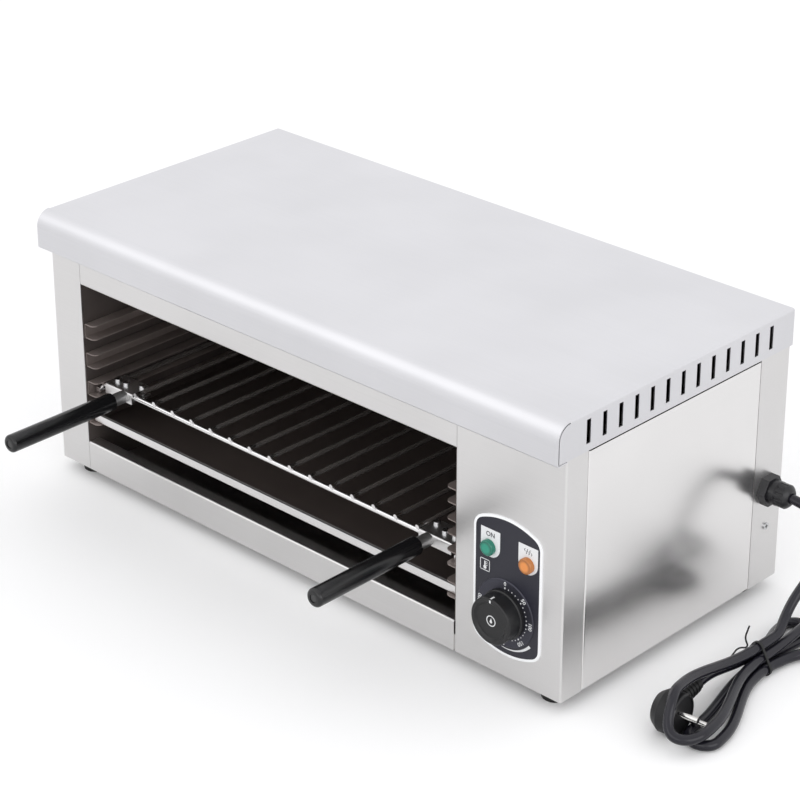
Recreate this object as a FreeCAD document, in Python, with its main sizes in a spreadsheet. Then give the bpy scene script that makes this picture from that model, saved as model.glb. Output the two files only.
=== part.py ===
import FreeCAD
import Part
import math
import os
import Sketcher

# Countertop salamander grill: a stainless casing with a grill chamber on the left and a control bay on the
# right, a wire rack with two handles and a crumb tray on guide channels, and a supply cord tied in a hank.
# X runs to the right, Y to the back and Z up. The drawings use x from the middle of the casing, v back from
# its front face and h up from its underside; every sub-part is then set on the feet and over the origin.

# Driving dimensions in millimetres, counts and angles in degrees
SIZES = {
    # Casing
    "casing_width": 600.0,
    "casing_depth": 278.5,
    "sheet": 1.0,
    "bend_radius": 1.6,
    "post_width": 38.0,
    "chamber_width": 450.0,
    "wall_reveal": 1.5,
    "seam_gap": 0.3,
    "wrap_depth": 24.5,
    "side_top": 217.0,
    "side_flange": 12.0,
    "side_gap": 1.2,
    "side_fold": 6.0,
    "side_step": 4.0,
    "panel_top": 210.2,
    "rear_strip_depth": 38.5,
    "rail_bottom": 183.0,
    "rail_return": 16.0,
    "sill_height": 28.0,
    "sill_return": 12.0,
    "skirt_gap": 0.3,
    "top_return": 14.0,
    "pan_upstand": 15.0,
    "rail_tab_width": 8.0,
    "tab_margin": 4.0,
    # Cover
    "cover_top": 245.0,
    "cover_sheet": 1.2,
    "cover_gap": 0.3,
    "lid_gap": 0.3,
    "cover_overhang": 13.0,
    "roll_radius": 14.0,
    "fold_radius": 2.0,
    "back_round": 1.0,
    "lip_bend": 1.8,
    "lip_bottom": 211.0,
    "lip_return": 11.5,
    "flange_bottom": 212.6,
    "slot_width": 4.7,
    "slot_height": 20.3,
    "slot_bottom": 219.0,
    "first_slot": 22.2,
    "last_slot_inset": 29.5,
    "slot_count": 13.0,
    # Chamber
    "back_clearance": 31.5,
    "chamber_top": 213.0,
    "wall_flange": 12.0,
    "wall_flange_top": 181.0,
    "runner_first": 46.3,
    "runner_pitch": 28.2,
    "runner_height": 14.0,
    "runner_reach": 12.5,
    "runner_front": 2.0,
    "runner_nose": 5.0,
    "runner_count": 4.0,
    # Heating elements
    "element_radius": 4.0,
    "element_drop": 15.0,
    "element_bend": 20.0,
    "front_element": 72.0,
    "rear_element_inset": 69.0,
    "element_end_gap": 26.0,
    "element_tail": 14.0,
    "element_pin_radius": 2.0,
    "element_pin_length": 9.0,
    "hanger_margin": 9.0,
    "hanger_first": 45.0,
    "hanger_pitch": 180.0,
    "hanger_count": 3.0,
    # Rack
    "rack_level": 1.0,
    "side_wire_radius": 3.0,
    "side_wire_spread": 219.0,
    "cross_wire_radius": 2.25,
    "cross_wire_front": 15.0,
    "cross_wire_inset": 14.0,
    "rod_radius": 2.0,
    "rod_pitch": 24.6,
    "rod_count": 15.0,
    "rod_front": 12.6,
    "rod_inset": 11.6,
    "weld_depth": 0.35,
    "side_wire_front": 9.0,
    "side_wire_inset": 7.0,
    # Handle brackets and handles
    "handle_spread": 186.0,
    "bracket_sheet": 1.5,
    "bracket_outer": 25.0,
    "bracket_inner": 10.5,
    "bracket_depth": 23.0,
    "bracket_drop": 10.0,
    "bracket_bend": 2.0,
    "bolt_radius": 1.7,
    "bolt_hole_play": 0.3,
    "bolt_head_radius": 3.0,
    "bolt_head_height": 2.2,
    "bolt_tail": 4.5,
    "bolt_nut_height": 2.4,
    "outer_bolt_offset": 20.0,
    "middle_bolt_offset": 9.0,
    "inner_bolt_offset": 6.0,
    "front_bolt_line": 22.0,
    "rear_bolt_line": 28.0,
    "stem_radius": 5.8,
    "stem_show": 14.0,
    "stem_insert": 20.0,
    "stem_play": 0.1,
    "grip_radius": 8.0,
    "grip_length": 115.0,
    "grip_round": 3.0,
    "grip_step": 1.0,
    "end_screw_radius": 3.2,
    "end_screw_height": 1.8,
    "end_screw_recess": 2.4,
    "end_screw_shank": 1.6,
    "end_screw_length": 14.0,
    # Crumb tray
    "tray_sheet": 0.8,
    "slide_gap": 0.3,
    "tray_side_gap": 3.0,
    "tray_front": 5.5,
    "tray_inset": 7.0,
    "tray_lip": 8.0,
    "tray_hem": 3.0,
    "tray_bend": 1.6,
    # Controls
    "plate_middle": 244.0,
    "plate_width": 70.0,
    "plate_bottom": 30.0,
    "plate_top": 132.0,
    "plate_bulge": 10.0,
    "plate_corner": 12.0,
    "plate_sheet": 1.0,
    "dial_x": 243.0,
    "dial_height": 58.5,
    "dial_radius": 29.5,
    "dial_thickness": 1.2,
    "dial_bevel": 0.7,
    "spindle_radius": 3.0,
    "spindle_play": 0.06,
    "spindle_flat": 2.0,
    "spindle_clearance": 1.2,
    "knob_base_radius": 21.0,
    "knob_face_radius": 20.0,
    "knob_skirt": 3.0,
    "knob_step": 0.8,
    "knob_depth": 17.0,
    "knob_round": 1.5,
    "knob_dish_radius": 16.5,
    "knob_dish_depth": 1.6,
    "knob_bore_depth": 12.5,
    "knob_hollow_radius": 17.5,
    "knob_hub_radius": 5.5,
    "knob_face_wall": 3.2,
    "thermostat_width": 42.0,
    "thermostat_height": 34.0,
    "thermostat_depth": 30.0,
    "thermostat_round": 3.0,
    "capillary_radius": 0.8,
    "bulb_radius": 3.0,
    "bulb_length": 90.0,
    "lamp_radius": 6.0,
    "lamp_hole_play": 0.3,
    "lamp_depth": 26.0,
    "lens_radius": 6.7,
    "lens_height": 4.6,
    "lens_round": 1.6,
    "power_lamp_x": 225.2,
    "power_lamp_height": 110.6,
    "heat_lamp_x": 264.9,
    "heat_lamp_height": 110.0,
    # Feet and fixings
    "foot_radius": 13.0,
    "foot_taper": 2.0,
    "foot_height": 11.0,
    "foot_inset": 22.0,
    "foot_front": 20.0,
    "foot_rear_inset": 26.5,
    "foot_recess_radius": 5.0,
    "foot_recess_depth": 5.0,
    "foot_screw_radius": 2.0,
    "foot_screw_head_radius": 4.0,
    "foot_screw_head_height": 2.6,
    "foot_screw_tail": 6.0,
    "screw_play": 0.3,
    "casing_screw_inset": 19.5,
    "casing_screw_height": 53.0,
    "casing_screw_radius": 1.8,
    "casing_screw_head_radius": 3.2,
    "casing_screw_head_height": 1.4,
    "casing_screw_length": 8.0,
    # Terminals in the control bay
    "block_x": 236.0,
    "block_v": 150.0,
    "block_width": 46.0,
    "block_depth": 20.0,
    "block_height": 18.0,
    "block_slot": 1.2,
    "block_poles": 3.0,
    "earth_x": 272.0,
    "earth_v": 205.0,
    "earth_radius": 2.5,
    "earth_length": 16.0,
    "earth_nut_radius": 4.6,
    "earth_nut_height": 4.0,
    # Cable gland
    "gland_inset": 21.5,
    "gland_height": 89.0,
    "gland_across_flats": 24.0,
    "gland_hex_length": 8.0,
    "gland_collar_radius": 10.6,
    "gland_collar_length": 6.0,
    "gland_cap_radius": 10.4,
    "gland_cap_length": 8.0,
    "gland_dome_length": 4.0,
    "gland_mouth_radius": 6.0,
    "gland_thread_radius": 8.0,
    "gland_thread_length": 12.0,
    "gland_flute_radius": 1.3,
    "gland_flutes": 12.0,
    "gland_nut_flats": 22.0,
    "gland_nut_height": 5.0,
    "gland_play": 0.3,
    "cord_seat_depth": 6.0,
    "cord_diameter": 8.5,
    "cord_floor_gap": 0.05,
    # Plug on the floor beside the casing
    "plug_out": 74.0,
    "plug_v": 43.0,
    "plug_turn": 8.0,
    "plug_roll": 50.0,
    "plug_radius": 17.5,
    "plug_rear_radius": 13.5,
    "plug_shoulder": 7.0,
    "plug_depth": 22.0,
    "plug_rim": 1.2,
    "plug_face_lip": 1.0,
    "plug_boss_radius": 7.4,
    "plug_boss_length": 3.0,
    "plug_pin_radius": 2.4,
    "plug_pin_length": 17.0,
    "plug_pin_spread": 9.5,
    "clip_width": 6.0,
    "clip_thickness": 1.0,
    "clip_length": 11.0,
    "clip_groove": 2.0,
    "relief_radius": 6.4,
    "relief_tip_radius": 5.2,
    "relief_length": 26.0,
    "relief_offset": 3.0,
    "relief_ring": 0.7,
    "relief_rings": 5.0,
    # Hank and twist tie
    "hank_out": 70.5,
    "hank_from_gland": 99.0,
    "hank_step": 9.1,
    "hank_layer": 10.6,
    "waist_run": 8.0,
    "tie_thickness": 1.0,
    "tie_width": 2.4,
    "tie_gap": 0.3,
    "tie_wire_radius": 0.7,
    # Inner wires
    "wire_radius": 1.25,
    "lead_radius": 3.0,
    "wire_gap": 0.6,
    "bulb_past_hanger": 34.0,
    "cord_end_run": 12.0,
    "tab_thickness": 0.8,
    "tab_length": 8.0,
    "blade_width": 6.0,
    "tab_spread": 12.0,
    "tab_drop": 8.0,
}

doc = FreeCAD.newDocument("salamander_grill")
sheet = doc.addObject("Spreadsheet::Sheet", "sizes")
for row, (alias, amount) in enumerate(SIZES.items(), start=1):
    sheet.set(f"A{row}", alias)
    sheet.set(f"B{row}", str(amount))
    sheet.setAlias(f"B{row}", alias)
doc.recompute()


class Term:
    """A length that carries both its number and its formula over the cells of the sheet."""

    def __init__(self, value, text):
        self.value = value
        self.text = text

    def __add__(self, other):
        other = term(other)
        return Term(self.value + other.value, f"({self.text} + {other.text})")

    def __sub__(self, other):
        other = term(other)
        return Term(self.value - other.value, f"({self.text} - {other.text})")

    def __mul__(self, other):
        other = term(other)
        return Term(self.value * other.value, f"({self.text} * {other.text})")

    def __truediv__(self, other):
        other = term(other)
        return Term(self.value / other.value, f"({self.text} / {other.text})")

    def __neg__(self):
        return Term(-self.value, f"(0 - {self.text})")

    def __radd__(self, other):
        return term(other) + self

    def __rsub__(self, other):
        return term(other) - self

    def __rmul__(self, other):
        return term(other) * self


def term(amount):
    if isinstance(amount, Term):
        return amount
    return Term(float(amount), f"({float(amount)})")


class Cells:
    """Gives each cell of the sheet as a Term under its alias."""

    def __getattr__(self, alias):
        return Term(float(sheet.get(alias)), f"sizes.{alias}")


s = Cells()

# Places that several sub-parts share
half_width = s.casing_width / 2
cover_under = s.cover_top - s.cover_sheet
casing_top = cover_under - s.lid_gap
cover_inner_x = half_width + s.cover_gap
cover_outer_x = cover_inner_x + s.cover_sheet
cover_back = s.casing_depth + s.cover_gap + s.cover_sheet
chamber_left = s.post_width - half_width
chamber_right = chamber_left + s.chamber_width
fascia_left = chamber_right + s.wall_reveal
rack_middle = chamber_left + s.chamber_width / 2
panel_outer_x = half_width - s.sheet
panel_inner_x = panel_outer_x - s.sheet
back_inner_v = s.casing_depth - s.sheet
strip_front = s.casing_depth - s.rear_strip_depth
casing_screw_v = s.casing_depth - s.casing_screw_inset
gland_v = s.casing_depth - s.gland_inset
foot_rear = s.casing_depth - s.foot_rear_inset
slot_pitch = (s.casing_depth - s.first_slot - s.last_slot_inset) / (s.slot_count - 1)
chamber_back = s.casing_depth - s.back_clearance
runner_back = chamber_back - s.seam_gap
rear_element = chamber_back - s.rear_element_inset
element_height = s.chamber_top - s.element_drop
tray_back = chamber_back - s.tray_inset

side_wire_back = chamber_back - s.side_wire_inset
cross_wire_back = chamber_back - s.cross_wire_inset
rod_back = chamber_back - s.rod_inset
rack_channel = s.runner_first + s.runner_pitch * s.rack_level
side_wire_height = rack_channel + s.sheet + s.slide_gap + s.side_wire_radius
cross_wire_height = side_wire_height + s.side_wire_radius + s.cross_wire_radius - s.weld_depth
rod_height = cross_wire_height + s.cross_wire_radius + s.rod_radius - s.weld_depth
bracket_under = cross_wire_height + s.cross_wire_radius + s.seam_gap
bracket_top = bracket_under + s.bracket_sheet
bracket_front = s.cross_wire_front - s.cross_wire_radius - s.seam_gap - s.bracket_sheet
bracket_bottom = bracket_top - s.bracket_drop
clamp_top = cross_wire_height - s.cross_wire_radius - s.seam_gap
clamp_under = clamp_top - s.bracket_sheet
handle_height = (bracket_top + bracket_bottom) / 2
grip_back = bracket_front - s.stem_show
grip_tip = grip_back - s.grip_length

plate_front = -s.plate_sheet
dial_front = plate_front - s.dial_thickness
knob_back = dial_front - s.slide_gap
knob_face = knob_back - s.knob_depth
gland_end = (half_width + s.gland_hex_length + s.gland_collar_length
             + s.gland_cap_length + s.gland_dome_length)

foot_x = half_width - s.foot_inset
bulb_v = (s.front_element + rear_element) / 2
bulb_height = element_height
hanger_start = chamber_left + s.hanger_first
cord_radius = s.cord_diameter / 2
cord_floor = cord_radius + s.cord_floor_gap - s.foot_height
plug_level = s.plug_radius + s.cord_floor_gap - s.foot_height
relief_end = s.plug_radius + s.plug_boss_length + s.relief_length
plug_x = half_width + s.plug_out
hank_x = half_width + s.hank_out
hank_v = gland_v - s.hank_from_gland

middle_x = (cover_outer_x - gland_end) / 2
front_y = -(cover_back + grip_tip) / 2

nodes = []


# Helpers

def bind(target, path, amount):
    target.setExpression(path, term(amount).text)


def place(thing, x=0, v=0, h=0):
    """Sets a finished sub-part on the feet and over the origin, moved by x, v and h."""
    bind(thing, "Placement.Base.x", middle_x + x)
    bind(thing, "Placement.Base.y", front_y + v)
    bind(thing, "Placement.Base.z", s.foot_height + h)


def keep(thing, label, x=0, v=0, h=0):
    thing.Label = label
    place(thing, x, v, h)
    nodes.append(thing)
    return thing


def new_body(name, several=False):
    body = doc.addObject("PartDesign::Body", name)
    body.AllowCompound = several
    return body


def origin(body, role):
    return next(feature for feature in body.Origin.OriginFeatures if feature.Role == role)


def circle(a, b, radius):
    return ("circle", a, b, radius)


def rounded(points):
    """Turns corners (a, b, radius) of an outline with square corners into arcs."""
    path = []
    count = len(points)
    for i, corner in enumerate(points):
        if len(corner) == 2:
            path.append(corner)
            continue
        a, b, radius = corner
        before = points[i - 1]
        after = points[(i + 1) % count]
        in_a = sign(term(a).value - term(before[0]).value)
        in_b = sign(term(b).value - term(before[1]).value)
        out_a = sign(term(after[0]).value - term(a).value)
        out_b = sign(term(after[1]).value - term(b).value)
        turn = in_a * out_b - in_b * out_a
        path.append((a - radius * in_a, b - radius * in_b))
        path.append((a + radius * out_a, b + radius * out_b, radius * turn))
    return path


def sign(number):
    if abs(number) < SAME_PLACE:
        return 0
    return 1 if number > 0 else -1


def box(a0, b0, a1, b1):
    return [(a0, b0), (a1, b0), (a1, b1), (a0, b1)]


def draw_path(drawing, path, closed=True):
    """Draws lines, and arcs where a point has a radius (positive turns left), and pins every point."""
    spots = [FreeCAD.Vector(term(p[0]).value, term(p[1]).value, 0) for p in path]
    first = 0 if closed else 1
    pieces = []
    for i in range(first, len(path)):
        start = spots[i - 1]
        end = spots[i]
        if len(path[i]) == 2:
            number = drawing.addGeometry(Part.LineSegment(start, end))
            pieces.append((number, 1, 2, None))
            continue
        radius = term(path[i][2]).value
        chord = end - start
        reach = math.sqrt(max(radius * radius - chord.Length ** 2 / 4, 0))
        left = FreeCAD.Vector(-chord.y, chord.x, 0) / chord.Length
        centre = (start + end) / 2 + left * math.copysign(reach, radius)
        low, high = (start, end) if radius > 0 else (end, start)
        low_angle = math.atan2(low.y - centre.y, low.x - centre.x)
        high_angle = math.atan2(high.y - centre.y, high.x - centre.x)
        ring = Part.Circle(centre, FreeCAD.Vector(0, 0, 1), abs(radius))
        number = drawing.addGeometry(Part.ArcOfCircle(ring, low_angle, high_angle))
        ends = (1, 2) if radius > 0 else (2, 1)
        pieces.append((number, ends[0], ends[1], path[i][2]))
    rules = []
    amounts = []
    count = len(pieces)
    for k in range(count if closed else count - 1):
        here = pieces[k]
        after = pieces[(k + 1) % count]
        rules.append(Sketcher.Constraint("Coincident", here[0], here[2], after[0], after[1]))
        amounts.append(None)
    for k, (number, _, tail, radius) in enumerate(pieces):
        spot = path[k + first]
        pin(rules, amounts, number, tail, spot)
        if radius is not None:
            size = term(radius)
            rules.append(Sketcher.Constraint("Radius", number, abs(size.value)))
            amounts.append(size if size.value > 0 else -size)
    if not closed:
        pin(rules, amounts, pieces[0][0], pieces[0][1], path[0])
    rule_terms(drawing, rules, amounts)


def pin(rules, amounts, number, end, spot):
    for way, amount in (("DistanceX", spot[0]), ("DistanceY", spot[1])):
        rules.append(Sketcher.Constraint(way, -1, 1, number, end, term(amount).value))
        amounts.append(amount)


def rule_terms(drawing, rules, amounts):
    numbers = drawing.addConstraint(rules)
    for number, amount in zip(numbers, amounts):
        if isinstance(amount, Term):
            bind(drawing, f"Constraints[{number}]", amount)


def draw_circle(drawing, a, b, radius):
    centre = FreeCAD.Vector(term(a).value, term(b).value, 0)
    ring = Part.Circle(centre, FreeCAD.Vector(0, 0, 1), term(radius).value)
    number = drawing.addGeometry(ring)
    rules = []
    amounts = []
    pin(rules, amounts, number, 3, (a, b))
    rules.append(Sketcher.Constraint("Radius", number, term(radius).value))
    amounts.append(radius)
    rule_terms(drawing, rules, amounts)


def sketch(body, plane, level, *loops, closed=True):
    """A sketch on one of the body's own planes, moved along its axis to a level."""
    drawing = body.newObject("Sketcher::SketchObject", "outline")
    drawing.AttachmentSupport = [(origin(body, plane + "_Plane"), "")]
    drawing.MapMode = "FlatFace"
    bind(drawing, "AttachmentOffset.Base.z", -term(level) if plane == "XZ" else level)
    for loop in loops:
        if loop[0] == "circle":
            draw_circle(drawing, *loop[1:])
        else:
            draw_path(drawing, loop, closed)
    return drawing


def pad(body, plane, start, end, *loops):
    """Pads outlines from one level to another, towards +X, +Y or +Z."""
    profile = sketch(body, plane, start, *loops)
    feature = body.newObject("PartDesign::Pad", "pad")
    feature.Profile = profile
    feature.Reversed = plane == "XZ"
    bind(feature, "Length", term(end) - start)
    return feature


def pocket(body, plane, start, end, *loops):
    """Cuts outlines from one level to another, towards +X, +Y or +Z."""
    profile = sketch(body, plane, start, *loops)
    feature = body.newObject("PartDesign::Pocket", "pocket")
    feature.Profile = profile
    feature.Reversed = plane != "XZ"
    bind(feature, "Length", term(end) - start)
    return feature


def revolve(body, plane, axis, *loops):
    profile = sketch(body, plane, 0, *loops)
    feature = body.newObject("PartDesign::Revolution", "revolution")
    feature.Profile = profile
    feature.ReferenceAxis = (origin(body, axis), [""])
    feature.Angle = 360
    return feature


def line_pattern(body, feature, axis, pitch, count):
    pattern = body.newObject("PartDesign::LinearPattern", "row")
    pattern.Originals = [feature]
    pattern.Direction = (origin(body, axis), [""])
    bind(pattern, "Length", pitch * (count - 1))
    bind(pattern, "Occurrences", count)
    body.Tip = pattern
    return pattern


def ring_pattern(body, feature, axis, count):
    pattern = body.newObject("PartDesign::PolarPattern", "ring")
    pattern.Originals = [feature]
    pattern.Axis = (origin(body, axis), [""])
    pattern.Angle = 360
    bind(pattern, "Occurrences", count)
    body.Tip = pattern
    return pattern


def fillet(body, feature, radius, wanted):
    """Rounds the edges of a feature for which wanted(edge) is true."""
    doc.recompute()
    edges = [f"Edge{i}" for i, edge in enumerate(feature.Shape.Edges, start=1) if wanted(edge)]
    rounding = body.newObject("PartDesign::Fillet", "fillet")
    rounding.Base = (feature, edges)
    bind(rounding, "Radius", radius)
    return rounding


def along(edge, axis):
    """True for a straight edge along an axis."""
    if not isinstance(edge.Curve, (Part.Line, Part.LineSegment)):
        return False
    way = edge.tangentAt(edge.FirstParameter)
    return abs(abs(way.dot(axis)) - 1) < SAME_PLACE


def pipe(body, plane, level, path, radius, start_plane, start_level, centre):
    """Sweeps a round bar along an open path in a plane."""
    spine = sketch(body, plane, level, path, closed=False)
    profile = sketch(body, start_plane, start_level, circle(centre[0], centre[1], radius))
    feature = body.newObject("PartDesign::AdditivePipe", "bar")
    feature.Profile = profile
    feature.Spine = spine
    return feature


def bar(name, axis, radius, length, x, v, h):
    """A round bar from a point along +X, +Y or +Z, in the drawing's own places."""
    cylinder = doc.addObject("Part::Cylinder", name)
    bind(cylinder, "Radius", radius)
    bind(cylinder, "Height", length)
    turn = FreeCAD.Rotation(FreeCAD.Vector(0, 0, 1), axis)
    cylinder.Placement = FreeCAD.Placement(FreeCAD.Vector(), turn)
    bind(cylinder, "Placement.Base.x", x)
    bind(cylinder, "Placement.Base.y", v)
    bind(cylinder, "Placement.Base.z", h)
    return cylinder


def union(name, things):
    joined = doc.addObject("Part::MultiFuse", name)
    joined.Shapes = things
    return joined


def group(name, things):
    """Separate solids of the same kind in one node."""
    together = doc.addObject("Part::Compound", name)
    together.Links = things
    return together


STRAIGHT = 1e-4
SAME_PLACE = 1e-6
ALONG_X = FreeCAD.Vector(1, 0, 0)
ALONG_Y = FreeCAD.Vector(0, 1, 0)
ALONG_Z = FreeCAD.Vector(0, 0, 1)


# Casing

def top_cover():
    body = new_body("top_cover")
    inner = cover_inner_x
    outer = cover_outer_x
    top = s.cover_top
    low = s.flange_bottom
    fold = s.fold_radius
    inner_fold = fold - s.cover_sheet
    roll_middle = s.roll_radius - s.cover_overhang
    roll_height = top - s.roll_radius
    lip = -s.cover_overhang
    folded = rounded([
        (-outer, low), (-outer, top, fold), (outer, top, fold), (outer, low),
        (inner, low), (inner, cover_under, inner_fold), (-inner, cover_under, inner_fold), (-inner, low),
    ])
    pad(body, "XZ", roll_middle, cover_back, folded)
    back = rounded([(-outer, low), (-outer, top, fold), (outer, top, fold), (outer, low)])
    back_sheet = pad(body, "XZ", cover_back - s.cover_sheet, cover_back, back)

    def back_outline(edge):
        box_of = edge.BoundBox
        return (abs(box_of.YMin - cover_back.value) < SAME_PLACE
                and abs(box_of.YMax - cover_back.value) < SAME_PLACE
                and box_of.ZMax > low.value + 1)
    fillet(body, back_sheet, s.back_round, back_outline)

    bend = s.lip_bend
    inner_bend = bend - s.cover_sheet
    lip_low = s.lip_bottom
    rolled = [
        (roll_middle, top), (lip, roll_height, s.roll_radius), (lip, lip_low + bend),
        (lip + bend, lip_low, bend), (lip + s.lip_return, lip_low),
        (lip + s.lip_return, lip_low + s.cover_sheet), (lip + bend, lip_low + s.cover_sheet),
        (lip + s.cover_sheet, lip_low + bend, -inner_bend), (lip + s.cover_sheet, roll_height),
        (roll_middle, cover_under, -(s.roll_radius - s.cover_sheet)),
    ]
    pad(body, "YZ", -outer, outer, rolled)
    flange_arc = s.roll_radius - fold
    flange = [
        (roll_middle, low), (roll_middle, top - fold), (roll_middle - flange_arc, roll_height, flange_arc),
        (roll_middle - flange_arc, low),
    ]
    pad(body, "YZ", inner, outer, flange)
    pad(body, "YZ", -outer, -inner, flange)
    slot_start = s.first_slot - s.slot_width / 2
    slot = box(slot_start, s.slot_bottom, slot_start + s.slot_width, s.slot_bottom + s.slot_height)
    slots = pocket(body, "YZ", -outer - s.sheet, outer + s.sheet, slot)
    line_pattern(body, slots, "Y_Axis", slot_pitch, s.slot_count)
    return keep(body, "top_cover")


def side_panel(label, way):
    """A side sheet flush with the front wrap: folded in at its front, stepped in behind the rear strip, with
    a flange at the top and the bottom; way is 1 on the right, -1 on the left."""
    body = new_body(label)
    front = s.wrap_depth + s.side_gap
    seam = strip_front - s.seam_gap * 2
    back = back_inner_v - s.bend_radius - s.seam_gap
    fold_end = half_width - s.side_fold
    outline = rounded([
        (half_width * way, seam), (half_width * way, front, s.bend_radius), (fold_end * way, front),
        (fold_end * way, front + s.sheet), (panel_outer_x * way, front + s.sheet, s.bend_radius - s.sheet),
        (panel_outer_x * way, seam - s.side_step), (panel_inner_x * way, seam - s.side_step),
        (panel_inner_x * way, back), (panel_outer_x * way, back), (panel_outer_x * way, seam),
    ])
    pad(body, "XY", s.sheet, s.panel_top, outline)
    flange = box((panel_outer_x - s.side_flange) * way, front + s.sheet, panel_outer_x * way, back)
    for level in (s.sheet, s.panel_top - s.sheet):
        pad(body, "XY", level, level + s.sheet, flange)
    holes = [circle(casing_screw_v, s.casing_screw_height, s.casing_screw_radius + s.screw_play)]
    if way > 0:
        holes.append(circle(gland_v, s.gland_height, s.gland_thread_radius + s.screw_play))
    start = panel_inner_x if way > 0 else -panel_outer_x
    pocket(body, "YZ", start, start + s.sheet, *holes)
    return keep(body, label)


def rear_casing():
    body = new_body("rear_casing")
    back = s.casing_depth
    section = rounded([
        (-half_width, strip_front), (-half_width, back, s.bend_radius), (half_width, back, s.bend_radius),
        (half_width, strip_front), (panel_outer_x, strip_front),
        (panel_outer_x, back_inner_v, s.bend_radius - s.sheet),
        (-panel_outer_x, back_inner_v, s.bend_radius - s.sheet), (-panel_outer_x, strip_front),
    ])
    pad(body, "XY", 0, casing_top, section)
    above = box(strip_front - s.sheet, s.side_top, back - s.bend_radius, casing_top + s.sheet)
    pocket(body, "YZ", -half_width - s.sheet, half_width + s.sheet, above)
    flange = box(-panel_outer_x + s.sheet, back_inner_v - s.top_return, panel_outer_x - s.sheet, back_inner_v)
    pad(body, "XY", casing_top - s.sheet, casing_top, flange)
    for way in (1, -1):
        holes = [circle(casing_screw_v, s.casing_screw_height, s.casing_screw_radius + s.screw_play)]
        if way > 0:
            holes.append(circle(gland_v, s.gland_height, s.gland_thread_radius + s.screw_play))
        start = panel_outer_x if way > 0 else -half_width
        pocket(body, "YZ", start, start + s.sheet, *holes)
    return keep(body, "rear_casing")


def base_pan():
    body = new_body("base_pan")
    section = rounded([
        (s.sheet, 0, s.bend_radius), (back_inner_v, 0, s.bend_radius), (back_inner_v, s.pan_upstand),
        (back_inner_v - s.sheet, s.pan_upstand), (back_inner_v - s.sheet, s.sheet, s.bend_radius - s.sheet),
        (s.sheet * 2, s.sheet, s.bend_radius - s.sheet), (s.sheet * 2, s.pan_upstand),
        (s.sheet, s.pan_upstand),
    ])
    pad(body, "YZ", -panel_outer_x, panel_outer_x, section)
    slots = []
    for way in (1, -1):
        near = panel_outer_x * way
        far = (panel_inner_x - s.seam_gap) * way
        slots.append(box(near, s.sheet, far, s.pan_upstand + s.sheet))
    pocket(body, "XZ", s.sheet * 2, back_inner_v, *slots)
    corners = [box(panel_outer_x * way, s.sheet, (panel_inner_x - s.seam_gap) * way, s.sheet * 2)
               for way in (1, -1)]
    pocket(body, "XY", 0, s.pan_upstand, *corners)
    holes = []
    for x in (foot_x, -foot_x):
        for v in (s.foot_front, foot_rear):
            holes.append(circle(x, v, s.foot_screw_radius + s.screw_play))
    holes.append(circle(s.earth_x, s.earth_v, s.earth_radius + s.screw_play))
    pocket(body, "XY", 0, s.sheet, *holes)
    return keep(body, "base_pan")


def front_wrap(body, edge_x, way):
    """Front sheet from an edge to the corner of the casing, folded back along its side."""
    outer = half_width * way
    inner = panel_outer_x * way
    section = rounded([
        (edge_x, 0), (outer, 0, s.bend_radius), (outer, s.wrap_depth), (inner, s.wrap_depth),
        (inner, s.sheet, s.bend_radius - s.sheet), (edge_x, s.sheet),
    ])
    pad(body, "XY", s.skirt_gap, casing_top, section)
    start = panel_outer_x - s.sheet if way > 0 else -half_width - s.sheet
    above = box(s.bend_radius, s.side_top, s.wrap_depth + s.sheet, casing_top + s.sheet)
    pocket(body, "YZ", start, start + s.sheet * 3, above)
    flange = box(edge_x, s.sheet, inner - s.sheet * way, s.top_return)
    pad(body, "XY", casing_top - s.sheet, casing_top, flange)


def left_front_post():
    body = new_body("left_front_post")
    front_wrap(body, chamber_left, -1)
    return keep(body, "left_front_post")


def control_fascia():
    body = new_body("control_fascia")
    front_wrap(body, fascia_left, 1)
    holes = [
        circle(s.dial_x, s.dial_height, s.spindle_radius + s.spindle_clearance),
        circle(s.power_lamp_x, s.power_lamp_height, s.lamp_radius + s.lamp_hole_play),
        circle(s.heat_lamp_x, s.heat_lamp_height, s.lamp_radius + s.lamp_hole_play),
    ]
    pocket(body, "XZ", 0, s.sheet, *holes)
    return keep(body, "control_fascia")


def top_front_rail():
    body = new_body("top_front_rail")
    low = s.rail_bottom
    section = rounded([
        (0, low, s.bend_radius), (s.rail_return, low), (s.rail_return, low + s.sheet),
        (s.sheet, low + s.sheet, s.bend_radius - s.sheet),
        (s.sheet, casing_top - s.sheet, s.bend_radius - s.sheet),
        (s.top_return, casing_top - s.sheet), (s.top_return, casing_top), (0, casing_top, s.bend_radius),
    ])
    left = chamber_left + s.seam_gap
    right = fascia_left - s.seam_gap
    pad(body, "YZ", left, right, section)
    notch = box(s.bend_radius, low - s.sheet, s.rail_return + s.sheet, low + s.sheet * 2)
    pocket(body, "YZ", chamber_right - s.seam_gap, right, notch)
    tab_low = low + s.tab_margin
    tab_high = casing_top - s.tab_margin
    for end in (left, right):
        tab = box(end - s.rail_tab_width, tab_low, end + s.rail_tab_width, tab_high)
        pad(body, "XZ", s.sheet, s.sheet * 2, tab)
    return keep(body, "top_front_rail")


def bottom_front_rail():
    body = new_body("bottom_front_rail")
    top = s.sill_height
    section = rounded([
        (0, s.skirt_gap), (s.sheet, s.skirt_gap), (s.sheet, top - s.sheet, s.bend_radius - s.sheet),
        (s.sill_return, top - s.sheet), (s.sill_return, top), (0, top, s.bend_radius),
    ])
    pad(body, "YZ", chamber_left + s.seam_gap, chamber_right - s.seam_gap, section)
    return keep(body, "bottom_front_rail")


# Chamber

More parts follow.
